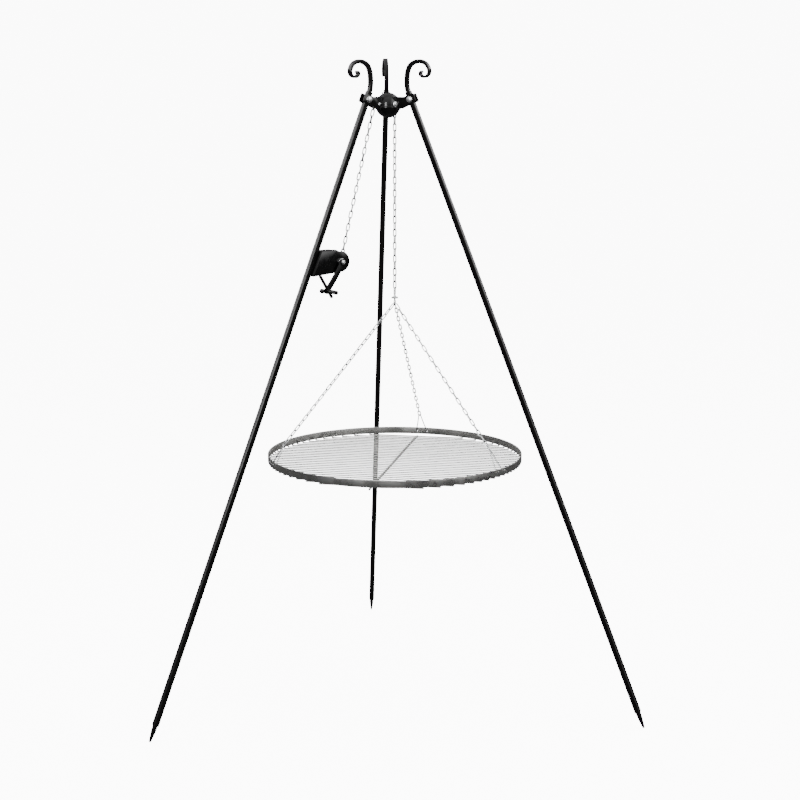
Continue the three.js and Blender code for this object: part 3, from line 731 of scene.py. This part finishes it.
def pulley_and_guide():
    seat = BALL_R + 0.2 * MM
    shank = M8["shank"]
    head = fillet([(0, seat), (WASHER_R, seat), (WASHER_R, seat + 2.6 * MM), (6.6 * MM, seat + 4.2 * MM),
                   (0, seat + 4.9 * MM)], 0.9 * MM)
    axle = [turned(head, PULLEY), turned([(0, seat), (shank, seat), (shank, -seat), (0, -seat)], PULLEY, 24),
            thread(PULLEY, -seat, -seat - 8 * MM, shank, M8["pitch"])]
    nut = [hexagonal(PULLEY, -seat - 0.2 * MM, -seat - 6.7 * MM, M8["head"], shank + 0.2 * MM)]
    radial = RADIAL["left"]
    piece("pulley_axle", axle, "frame", "zinc_hardware", matrix=radial)
    piece("pulley_axle_nut", nut, "frame", "zinc_hardware", matrix=radial)
    for name, y0, y1 in (("near", *SPACER), ("far", -SPACER[1], -SPACER[0])):
        tube = washer(PULLEY, y0, y1, AXLE_BORE, 6.4 * MM)
        piece("pulley_spacer_" + name, [tube], "frame", "zinc_hardware", matrix=radial)
    wheels = {
        "hub_pulley": ("pulley", PULLEY, PULLEY_PITCH, AXLE_BORE),
        "guide_roller": ("guide", GUIDE, GUIDE_PITCH, PIN_BORE),
    }
    for name, (body, at, pitch, bore) in wheels.items():
        piece(name, [turned(groove(pitch, bore), at, 72)], body, "brass", matrix=radial)
    pin_seat = CHEEK_OUT + 0.2 * MM
    head_r, head_t = PIN_HEAD
    pin = fillet([(0, pin_seat + head_t), (head_r, pin_seat + head_t), (head_r, pin_seat), (PIN_R, pin_seat),
                  (PIN_R, -pin_seat - head_t), (0, -pin_seat - head_t)], 0.6 * MM)
    piece("guide_pin", [turned(pin, GUIDE, 32)], "frame", "zinc_hardware", matrix=radial)


def groove(pitch, bore):
    """Half section of a grooved wheel: (radius, y)."""
    root = pitch - 2.6 * MM
    edge = pitch + 3.2 * MM
    w = 6 * MM
    corners = [(bore, -w), (edge, -w), (edge, -w + 1 * MM), (root + 2.6 * MM, -2.9 * MM), (root, -1.4 * MM),
               (root, 1.4 * MM), (root + 2.6 * MM, 2.9 * MM), (edge, w - 1 * MM), (edge, w), (bore, w)]
    return fillet(corners, 0.6 * MM, 3)


# ---- chains ----


def link(pitch, width, wire_r):
    """One welded link, long in X and wide in Y."""
    half_width = width / 2 - wire_r
    half_straight = pitch / 2 + wire_r - half_width
    path = arc((half_straight, 0), half_width, -math.pi / 2, math.pi / 2, 7)
    path += arc((-half_straight, 0), half_width, math.pi / 2, 1.5 * math.pi, 7)
    return wire([(x, y, 0) for x, y in path], wire_r, 9, closed=True)


def chain(line, wire_r=LINK_WIRE, first_roll=0.0, width=LINK_WIDTH):
    """Links along a line of points, each turned a quarter from the last. The pitch is fitted to the line."""
    line = [Vector(p) for p in line]
    lengths = [0.0]
    for a, b in zip(line, line[1:]):
        lengths.append(lengths[-1] + (b - a).length)

    def at(distance):
        i = next((k for k in range(1, len(line) - 1) if lengths[k] >= distance), len(line) - 1)
        t = (distance - lengths[i - 1]) / (lengths[i] - lengths[i - 1])
        return line[i - 1].lerp(line[i], t)

    count = max(1, round(lengths[-1] / LINK_PITCH))
    step = lengths[-1] / count
    shape = link(step, width, wire_r)
    bodies = []
    side = TANGENTIAL
    for n in range(count):
        start, end = at(n * step), at((n + 1) * step)
        along = (end - start).normalized()
        side = (side - along * side.dot(along)).normalized()
        roll = first_roll + (n % 2) * math.pi / 2 + random.uniform(-LINK_SWAY, LINK_SWAY)
        basis = Matrix((along, side, along.cross(side))).transposed().to_4x4()
        place = Matrix.Translation((start + end) / 2) @ basis @ Matrix.Rotation(roll, 4, "X")
        bodies.append(moved(shape, place))
    return bodies


def on_wheel(wheel, pitch, angle):
    return Vector((wheel[0] + pitch * math.cos(angle), 0, wheel[1] + pitch * math.sin(angle)))


def hoist_chain():
    radial = RADIAL["left"]
    span = math.hypot(DRUM[0] - GUIDE[0], GUIDE[1] - DRUM[1])
    lean = math.acos((GUIDE_PITCH + DRUM_PITCH) / span) - math.atan2(GUIDE[1] - DRUM[1], DRUM[0] - GUIDE[0])
    top_span = math.hypot(GUIDE[0] - PULLEY[0], GUIDE[1] - PULLEY[1])
    top = math.pi / 2 + math.atan2(GUIDE[1] - PULLEY[1], GUIDE[0] - PULLEY[0])
    top -= math.asin((PULLEY_PITCH - GUIDE_PITCH) / top_span)
    over = [on_wheel(GUIDE, GUIDE_PITCH, lean + (top - lean) * i / 8) for i in range(9)]
    over += [on_wheel(PULLEY, PULLEY_PITCH, top + (math.pi - top) * i / 16) for i in range(17)]
    piece("chain_over_hub", chain(over, first_roll=math.pi / 4), "frame", "zinc_chain", matrix=radial)

    run = [on_wheel(GUIDE, GUIDE_PITCH, lean), on_wheel(DRUM, DRUM_PITCH, lean + math.pi)]
    piece("chain_to_winch", chain(run, first_roll=math.pi / 4), "frame", "zinc_chain", matrix=radial)

    wound = []
    count = WOUND_TURNS * WOUND_STEPS
    for i in range(count + 1):
        at = on_wheel(DRUM, DRUM_PITCH, lean + math.pi + TAU * i / WOUND_STEPS)
        wound.append((at.x, (i / count - 0.5) * WOUND_WIDTH, at.z))
    piece("chain_on_drum", chain(wound, first_roll=math.pi / 4), "winch_crank", "zinc_chain", matrix=radial)


def falling_chain():
    """A straight drop of links along its CAD stand-in, from its top to a little into the bow below."""
    low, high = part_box("chain_drop")
    x, y = (low.x + high.x) / 2, (low.y + high.y) / 2
    into_bow = 4 * MM
    foot = low.z - into_bow
    bodies = chain([(x, y, high.z), (x, y, foot)], first_roll=math.radians(35))
    obj = to_object("v_chain_drop", bodies, CHAIN)
    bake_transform(obj)
    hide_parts("chain_drop")


# ---- winch ----


def leg_face(z):
    """Radius of the leg's inner face at a height."""
    return BOLT_R + (BOLT_Z - z) * math.tan(LEAN) - TUBE / 2 / math.cos(LEAN)


def winch_housing():
    side_top = TOP_Z - SHEET
    front = DRUM[0] + TOP_FRONT
    nose = arc((DRUM[0], side_top - NOSE_R), NOSE_R, math.pi / 2, 1.5 * math.pi, 28)
    under_top = TOP_Z - 1.5 * MM  # the side plates end inside the top plate
    side = [(leg_face(under_top) - GAP, under_top), (front, under_top), (front, side_top)]
    side += nose
    side += [(leg_face(BOTTOM_Z) - GAP, BOTTOM_Z)]
    bodies = [plate(side, s * (SIDE_OUT - SHEET), s * SIDE_OUT, s * 1.1 * MM) for s in (1, -1)]
    bodies.append(folded_strip([(leg_face(BOTTOM_Z), BOTTOM_Z), (leg_face(TOP_Z), TOP_Z), (front, TOP_Z)]))
    piece("winch_housing", bodies, "frame", "black_enamel", matrix=RADIAL["left"])


def folded_strip(line):
    """The sheet's back and top as one strip between the side plates, with a bend where they meet."""
    (r0, z0), (r1, z1), (r2, z2) = line
    outer = [(r0 - GAP, z0), (r1 - GAP, z1), (r2, z2)]
    across = Vector((r1 - r0, z1 - z0)).normalized()
    away = Vector((-across.y, across.x))
    if away.x > 0:
        away = -away
    inner = [(r2, z2 - SHEET), (r1 + away.x * SHEET - GAP, z1 - SHEET), (r0 + away.x * SHEET - GAP, z0)]
    outline = fillet(outer + inner, 2.2 * MM, 5)
    return plate(outline, -SIDE_OUT + 0.6 * MM, SIDE_OUT - 0.6 * MM, 1.4 * MM)


def winch_works():
    radial = RADIAL["left"]
    drum = [(4.3, -15.5), (22, -15.5), (22, -14), (7, -14), (7, 14), (22, 14), (22, 15.5), (4.3, 15.5)]
    drum = [(r * MM, y * MM) for r, y in drum]
    front = CRANK_Y + CRANK_T
    back, tip, shank = -24.5 * MM, front + 7.3 * MM, M8["shank"]
    plain_end = tip - 6 * MM
    axle = fillet([(0, back), (shank, back), (shank, plain_end), (0, plain_end)], 0.6 * MM)
    nut_at = front + GAP
    works = {
        "winch_drum": [turned(fillet(drum, 0.5 * MM, 3), DRUM, 64)],
        "winch_axle": [turned(axle, DRUM, 32), thread(DRUM, tip - 7 * MM, tip, shank, M8["pitch"])],
        "axle_clip": [washer(DRUM, -SIDE_OUT - 1.6 * MM, -SIDE_OUT - 0.4 * MM, 4.2 * MM, 7.5 * MM)],
        "brake_washer": [washer(DRUM, SIDE_OUT + GAP, CRANK_Y - GAP, 4.3 * MM, 9.5 * MM)],
        "crank_nut": [
            hexagonal(DRUM, nut_at, nut_at + CRANK_NUT["height"], CRANK_NUT["r"], CRANK_NUT["bore"])],
    }
    for name, bodies in works.items():
        piece(name, bodies, "winch_crank", "zinc_hardware", matrix=radial)
    for name in ("upper", "lower"):
        screw(name)


def screw(name):
    """A cap screw from inside the housing into the leg."""
    node = "winch_screw_" + name
    shank, head = 2.8 * MM, 5 * MM
    tip = 2 * MM  # inwards from the leg's own line, as the seat and top are
    seat = TUBE / 2 + SHEET + 0.6 * MM
    top = seat + 3.5 * MM
    profile = [(0, top), (head, top), (head, seat), (shank, seat), (shank, tip), (0, tip)]
    body = turned(fillet(profile, 0.6 * MM), (0, 0), 32)
    middle_out = (top + tip) / 2
    at = in_plane(middle(node))
    down = (BOLT_Z - at[1] - middle_out * math.sin(LEAN)) / math.cos(LEAN)
    place = RADIAL["left"] @ LEG @ Matrix.Translation((0, 0, -down)) @ Matrix.Rotation(math.pi / 2, 4, "Z")
    piece(node, [body], "frame", "zinc_hardware", matrix=place)


def bowed_arm():
    """Outline of the crank arm from the axle to the handle, bowed downwards."""
    start, end = Vector(DRUM), Vector(CRANK_END)
    along = (end - start).normalized()
    bow = Vector((along.y, -along.x)) * 2 * CRANK_BOW
    control = (start + end) / 2 + bow
    steps = 16
    shares = [i / steps for i in range(steps + 1)]
    line = [start * (1 - t) ** 2 + control * 2 * t * (1 - t) + end * t * t for t in shares]
    sides = {1: [], -1: []}
    for i, point in enumerate(line):
        along = (line[min(i + 1, steps)] - line[max(i - 1, 0)]).normalized()
        for side in sides:
            sides[side].append(tuple(point + Vector((-along.y, along.x)) * side * CRANK_HALF))
    return sides[1] + sides[-1][::-1]


def disc(at, radius, segments=40):
    return arc(at, radius, 0, TAU * (segments - 1) / segments, segments - 1)


def crank_arm():
    y0, y1 = CRANK_Y, CRANK_Y + CRANK_T
    shift = 0.02 * MM  # between overlapping plates, so that their faces don't coincide
    ear = [(CRANK_END[0], CRANK_END[1] - EAR_HALF), (RIVET[0], RIVET[1] - EAR_HALF),
           (RIVET[0], RIVET[1] + EAR_HALF), (CRANK_END[0], CRANK_END[1] + EAR_HALF)]
    bosses = [disc(DRUM, 9 * MM), disc(CRANK_END, CRANK_HALF + 1 * MM), disc(RIVET, RIVET_R)]
    arm = [plate(bowed_arm(), y0, y1, CRANK_EDGE), plate(ear, y0 + shift, y1 - shift, CRANK_EDGE)]
    arm += [plate(boss, y0 - shift, y1 + shift, CRANK_EDGE) for boss in bosses]
    piece("crank_arm", arm, "winch_crank", "black_enamel", matrix=RADIAL["left"])


def crank_rivet(back, front):
    slopes = [math.radians(d) for d in range(15, 91, 15)]
    dome = [(0, back - RIVET_DOME)]
    dome += [(RIVET_R * math.sin(a), back - RIVET_DOME * math.cos(a)) for a in slopes]
    top = [(r, front + back - y) for r, y in dome[::-1]]
    rivet = turned(dome + [(2 * MM, back), (2 * MM, front)] + top, RIVET, 32)
    piece("crank_rivet", [rivet], "winch_crank", "black_enamel", matrix=RADIAL["left"])


def handle(back):
    """The spindle, the cross bar on its collar and the loose grip."""
    radial = RADIAL["left"]
    end = GRIP_Y[1] + GAP
    tip = GRIP_Y[1] + 2.5 * MM
    spindle = [(0, back - 2.2 * MM), (4.2 * MM, back - 2.2 * MM), (4.2 * MM, back), (PIN_R, back),
               (PIN_R, end), (GRIP_R, end), (GRIP_R, tip), (0, tip)]
    body = turned(fillet(spindle, 0.7 * MM), CRANK_END, 32)
    piece("handle_spindle", [body], "winch_crank", "black_enamel", matrix=radial)
    y = CROSS_BAR["y"]
    (r0, z0), (r1, z1) = CROSS_BAR["outer"], CROSS_BAR["inner"]
    bar = wire([(r0, y, z0), (r1, y, z1)], CROSS_BAR["r"], 24)
    collar = washer(CRANK_END, y - 4.5 * MM, y + 5 * MM, PIN_BORE, 6.2 * MM)
    piece("handle_cross_bar", [bar, collar], "winch_crank", "black_enamel", matrix=radial)
    piece("handle_grip", [turned(grip_profile(), CRANK_END, 40)], "grip", "black_enamel", matrix=radial)


def crank():
    back, front = CRANK_Y - GAP, CRANK_Y + CRANK_T + GAP
    crank_arm()
    crank_rivet(back, front)
    handle(back)


def grip_profile():
    """A sleeve with shallow rings."""
    low, high = GRIP_Y
    profile = [(2.8 * MM, low), (GRIP_R - 0.6 * MM, low)]
    count = 10
    for i in range(count):
        y = low + 1 * MM + (high - low - 2 * MM) * i / count
        step = (high - low - 2 * MM) / count
        profile += [(GRIP_R, y), (GRIP_R, y + step * 0.7), (GRIP_R - 0.3 * MM, y + step * 0.8)]
    return profile + [(GRIP_R - 0.6 * MM, high), (2.8 * MM, high)]


# ---- grate ----

GRATE = Matrix.Translation((SWIVEL.x, SWIVEL.y, 0))
HOLE_Z = (RIM_LOW.z + RIM_HIGH.z) / 2
EYE_LOW, EYE_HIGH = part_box("bridle_eye")
EYE_HALF = (EYE_HIGH - EYE_LOW).xy.length / 2
EYE_Z = EYE_LOW.z + EYE_HALF
ROD_Z = RIM_LOW.z - 0.2 * MM - ROD_R


def around(angle):
    return GRATE @ Matrix.Rotation(angle, 4, "Z")


def grate_rim():
    inside = RIM_R - RIM_T
    corners = [(inside, RIM_LOW.z), (RIM_R, RIM_LOW.z), (RIM_R, RIM_HIGH.z), (inside, RIM_HIGH.z)]
    profile = fillet(corners, 0.8 * MM, 3)
    rings = []
    segments = 288
    for i in range(segments):
        a = TAU * i / segments
        rings.append([(r * math.cos(a), r * math.sin(a), z) for r, z in profile])
    rim = to_object("v_grate_rim", [loft(rings, closed=True)], BAND)
    holes = []
    for angle in HANGERS.values():
        for y in (-HANGER_HALF, HANGER_HALF):
            path = [(RIM_R - 12 * MM, y, HOLE_Z), (RIM_R + 12 * MM, y, HOLE_Z)]
            holes.append(moved(wire(path, HOLE_R, 20), Matrix.Rotation(angle, 4, "Z")))
    carve(rim, holes)
    rim.data.transform(GRATE)
    stand_for(rim, "grate", "stainless_steel", "grate_rim")


def rod_grid():
    """The rods, the support bar under them, and the welds at rim and bar."""
    bodies = []
    reach = RIM_R - 1 * MM
    support_z = ROD_Z - ROD_R - SUPPORT_R + 1.2 * MM
    for i in range(ROD_COUNT):
        x = (i - (ROD_COUNT - 1) / 2) * ROD_PITCH
        half = math.sqrt(reach * reach - x * x) - ROD_R
        sag = random.uniform(-0.35, 0.35) * MM
        path = [(x + sag * math.cos(math.pi * t / 8), y, ROD_Z)
                for t, y in ((k, half * k / 8) for k in range(-8, 9))]
        bodies.append(wire(path, ROD_R, 14))
        for side in (-1, 1):
            y = side * (half + ROD_R - 2.2 * MM)
            bodies.append(bead((x, y, RIM_LOW.z - 0.4 * MM), (3.6 * MM, 2.6 * MM, 1.5 * MM), i))
        bodies.append(bead((x, 0, ROD_Z - ROD_R + 0.3 * MM), (2.8 * MM, 4.6 * MM, 1.6 * MM), i + 50))
    half = RIM_R - 8 * MM
    bodies.append(wire([(-half, 0, support_z), (0, 0, support_z), (half, 0, support_z)], SUPPORT_R, 16))
    piece("grate_rod_grid", bodies, "grate", "stainless_steel", matrix=around(ROD_AZIMUTH), material=RODS)


def up_hanger(distance, y=0.0):
    """A point up the hanger's plane, from the rim's holes."""
    inwards, up = distance * math.cos(HANGER_TILT), distance * math.sin(HANGER_TILT)
    return Vector((RIM_R - RIM_T - inwards, y, HOLE_Z + up))


def rim_hanger(leg):
    """Bent wire: through two holes of the rim, up to a peak that holds the chain."""
    bend = up_hanger(HANGER_RISE - 4 * MM)
    through_rim = [(3.4 * MM, 5 * MM), (3.4 * MM, 1.5 * MM), (1 * MM, 0), (-5 * MM, 0)]
    side = [Vector((RIM_R + out, HANGER_HALF, HOLE_Z + up)) for out, up in through_rim]
    side += [up_hanger(7 * MM, HANGER_HALF * 0.97), up_hanger(HANGER_RISE * 0.5, HANGER_HALF * 0.58),
             Vector((bend.x, HANGER_HALF * 0.2, bend.z))]
    other = [Vector((p.x, -p.y, p.z)) for p in side]
    line = spline(side + [up_hanger(HANGER_RISE)] + other[::-1], 6)
    body = wire(line, HANGER_WIRE, 12)
    place = around(HANGERS[leg])
    piece("rim_hanger_" + leg, [body], "grate", "zinc_hardware", matrix=place, material=CHAIN)


def bridle_chain(leg):
    eye = Vector((0, 0, EYE_Z))
    peak = up_hanger(HANGER_RISE - HANGER_WIRE)
    end = eye + (peak - eye).normalized() * (EYE_HALF - 3 * MM)
    bodies = chain([peak, end], BRIDLE_WIRE, first_roll=math.radians(20), width=BRIDLE_WIDTH)
    piece("bridle_chain_" + leg, bodies, "grate", "zinc_chain", matrix=around(HANGERS[leg]))


UPRIGHT = Matrix.Rotation(math.pi / 2, 4, "X")  # stands a turned body's axis up
SWIVEL_LOW, SWIVEL_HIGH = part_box("swivel_bow")
SWIVEL_TOP = SWIVEL_LOW.z + SWIVEL_PLATE


def swivel_bow():
    """A bow welded to a small round plate, which the eye's stem turns in."""
    bow_r = SWIVEL_HIGH.z - SWIVEL_LOW.z - SWIVEL_PLATE - HANGER_WIRE
    disc_r = bow_r + 2.5 * MM
    foot = SWIVEL_TOP - 1 * MM
    bow = [Vector((bow_r, 0, foot))]
    bow += [Vector((x, 0, z)) for x, z in arc((0, foot + 1 * MM), bow_r, 0, math.pi, 16)]
    bow += [Vector((-bow_r, 0, foot))]
    corners = [(PIN_BORE, SWIVEL_LOW.z), (disc_r, SWIVEL_LOW.z), (disc_r, SWIVEL_TOP), (PIN_BORE, SWIVEL_TOP)]
    disc_body = moved(turned(fillet(corners, 0.9 * MM), (0, 0), 40), UPRIGHT)
    bodies = [disc_body, wire(bow, HANGER_WIRE, 14)]
    piece("swivel_bow", bodies, "swivel", "zinc_hardware", matrix=around(ROD_AZIMUTH))


def bridle_eye():
    """A closed loop under a headed stem."""
    eye_r = EYE_HALF - EYE_WIRE
    steps = 32
    turns = arc((0, EYE_Z), eye_r, 0, TAU * (steps - 1) / steps, steps - 1)
    loop = wire([(x, 0, z) for x, z in turns], EYE_WIRE, 12, closed=True)
    foot, head = EYE_Z + eye_r - 1 * MM, SWIVEL_TOP + GAP
    stem_r, head_r, head_t = 2.4 * MM, 4 * MM, 3 * MM
    stem = fillet([(0, foot), (stem_r, foot), (stem_r, head), (head_r, head), (head_r, head + head_t),
                   (0, head + head_t)], 0.7 * MM)
    stem_body = moved(turned(stem, (0, 0), 32), UPRIGHT)
    piece("bridle_eye", [loop, stem_body], "grate", "zinc_hardware", matrix=around(ROD_AZIMUTH))


# ---- build ----

for leg in LEGS:
    leg_tube(leg)
    foot_spike(leg)
    scroll(leg)
    hub_arm(leg)
    leg_fastener(leg)
    rim_hanger(leg)
    bridle_chain(leg)
ball()
pulley_and_guide()
hoist_chain()
falling_chain()
winch_housing()
winch_works()
crank()
grate_rim()
rod_grid()
swivel_bow()
bridle_eye()

# ---- camera, floor and light ----

CAMERA_AT = (-0.3956, -5.5664, 1.8813)
CAMERA_PAN = 0.0796
CAMERA_TILT = 0.189
CAMERA_LENS = 87.36
BACKGROUND = 10.5  # radiance of floor and sky, so that they come out near white
SIDE_GLOW = 3.6  # what the paint mirrors, high behind the tripod on either side
FRONT_GLOW = 5.0  # to the right in front, above eye level
TOP_GLOW = 1.1  # what the steel mirrors from above
ROOM_GLOW = 0.12  # all the rest
FRONT_REST = 0.8  # in front, from the middle leftwards
EVEN_GLOW = 0.8  # what lights matt surfaces
FLOOR_GLOW = BACKGROUND - 0.8  # the floor also reflects about the rest, from sky and softboxes
FLOOR_R = 60
SOFTBOXES = {  # place, what it faces, width, height, power
    "window": ((-1.95, -4.3, 2.95), (0, 0, 1.7), 1.3, 2.1, 150),
    "top": ((0.2, 0.6, 4.6), (0, -0.1, 0.7), 3.0, 2.2, 260),
    "fill": ((3.8, -2.2, 1.6), (0, -0.2, 0.8), 0.9, 2.4, 90),
}
MIRRORED = ("window",)  # softboxes that the paint and steel mirror


def camera():
    data = bpy.data.cameras.new("camera")
    data.lens = CAMERA_LENS
    data.sensor_width = 36
    obj = bpy.data.objects.new("camera", data)
    obj.location = CAMERA_AT
    obj.rotation_euler = (math.pi / 2 - CAMERA_TILT, 0, -CAMERA_PAN)
    bpy.context.scene.collection.objects.link(obj)
    bpy.context.scene.camera = obj


def floor():
    """A wide pale disc. It takes soft shadows, and glossy paint doesn't mirror it."""
    edge = [(x, y, 0) for x, y in disc((0, 0), FLOOR_R, 96)]
    mesh = bpy.data.meshes.new("floor")
    mesh.from_pydata(edge, [], [tuple(range(len(edge)))])
    material, nodes, links, shader = new_material("floor_white", (0.9, 0.9, 0.9), 0.0, 0.9)
    tone = pattern(nodes, links, 0.6, 2)
    ramp_to(nodes, links, tone, shader.inputs["Base Color"], 0.88, 0.92)
    shader.inputs["Emission Color"].default_value = (1, 1, 1, 1)
    shader.inputs["Emission Strength"].default_value = FLOOR_GLOW
    mesh.materials.append(material)
    obj = bpy.data.objects.new("floor", mesh)
    bpy.context.scene.collection.objects.link(obj)
    obj.visible_glossy = False
    obj.visible_diffuse = False


def softbox(name, at, target, width, height, power):
    data = bpy.data.lights.new(name, "AREA")
    data.shape = "RECTANGLE"
    data.size = width
    data.size_y = height
    data.energy = power
    obj = bpy.data.objects.new(name, data)
    obj.location = at
    obj.rotation_euler = (Vector(target) - Vector(at)).to_track_quat("-Z", "Y").to_euler()
    obj.visible_glossy = name in MIRRORED
    obj.visible_camera = False
    bpy.context.scene.collection.objects.link(obj)


def sky():
    """White for the camera, even light for matt surfaces, and separate glows for mirroring ones."""
    world = bpy.data.worlds.new("studio")
    bpy.context.scene.world = world
    world.use_nodes = True
    nodes, links = world.node_tree.nodes, world.node_tree.links
    background = nodes["Background"]
    background.inputs["Color"].default_value = (1, 1, 1, 1)
    place = nodes.new("ShaderNodeTexCoord")
    split = nodes.new("ShaderNodeSeparateXYZ")
    links.new(place.outputs["Generated"], split.inputs["Vector"])

    def band(socket, start, end, low, high):
        spread = nodes.new("ShaderNodeMapRange")
        spread.interpolation_type = "SMOOTHSTEP"
        for name, value in (("From Min", start), ("From Max", end), ("To Min", low), ("To Max", high)):
            spread.inputs[name].default_value = value
        links.new(socket, spread.inputs["Value"])
        return spread.outputs["Result"]

    def combine(operation, a, b):
        node = nodes.new("ShaderNodeMath")
        node.operation = operation
        links.new(a, node.inputs[0])
        links.new(b, node.inputs[1])
        return node.outputs["Value"]

    width = nodes.new("ShaderNodeMath")
    width.operation = "ABSOLUTE"
    links.new(split.outputs["X"], width.inputs[0])
    x, y, z = (split.outputs[axis] for axis in "XYZ")
    sides = combine("MULTIPLY", band(width.outputs["Value"], 0.3, 0.75, 0.0, SIDE_GLOW),
                    band(y, 0.0, 0.45, 0.0, 1.0))
    sides = combine("MULTIPLY", sides, band(z, 0.1, 0.3, 0.0, 1.0))
    front = combine("MULTIPLY", band(x, 0.3, 0.7, FRONT_REST, FRONT_GLOW), band(y, -0.3, 0.1, 1.0, 0.0))
    front = combine("MULTIPLY", front, band(z, 0.03, 0.22, 0.0, 1.0))
    above = band(z, 0.35, 0.95, ROOM_GLOW, TOP_GLOW)
    around_us = combine("ADD", combine("ADD", sides, front), above)
    rays = nodes.new("ShaderNodeLightPath")
    glossy = nodes.new("ShaderNodeMix")
    glossy.inputs["A"].default_value = EVEN_GLOW
    links.new(rays.outputs["Is Glossy Ray"], glossy.inputs["Factor"])
    links.new(around_us, glossy.inputs["B"])
    seen = nodes.new("ShaderNodeMix")
    seen.inputs["B"].default_value = BACKGROUND
    links.new(rays.outputs["Is Camera Ray"], seen.inputs["Factor"])
    links.new(glossy.outputs["Result"], seen.inputs["A"])
    links.new(seen.outputs["Result"], background.inputs["Strength"])


camera()
floor()
sky()
for name, setting in SOFTBOXES.items():
    softbox(name, *setting)
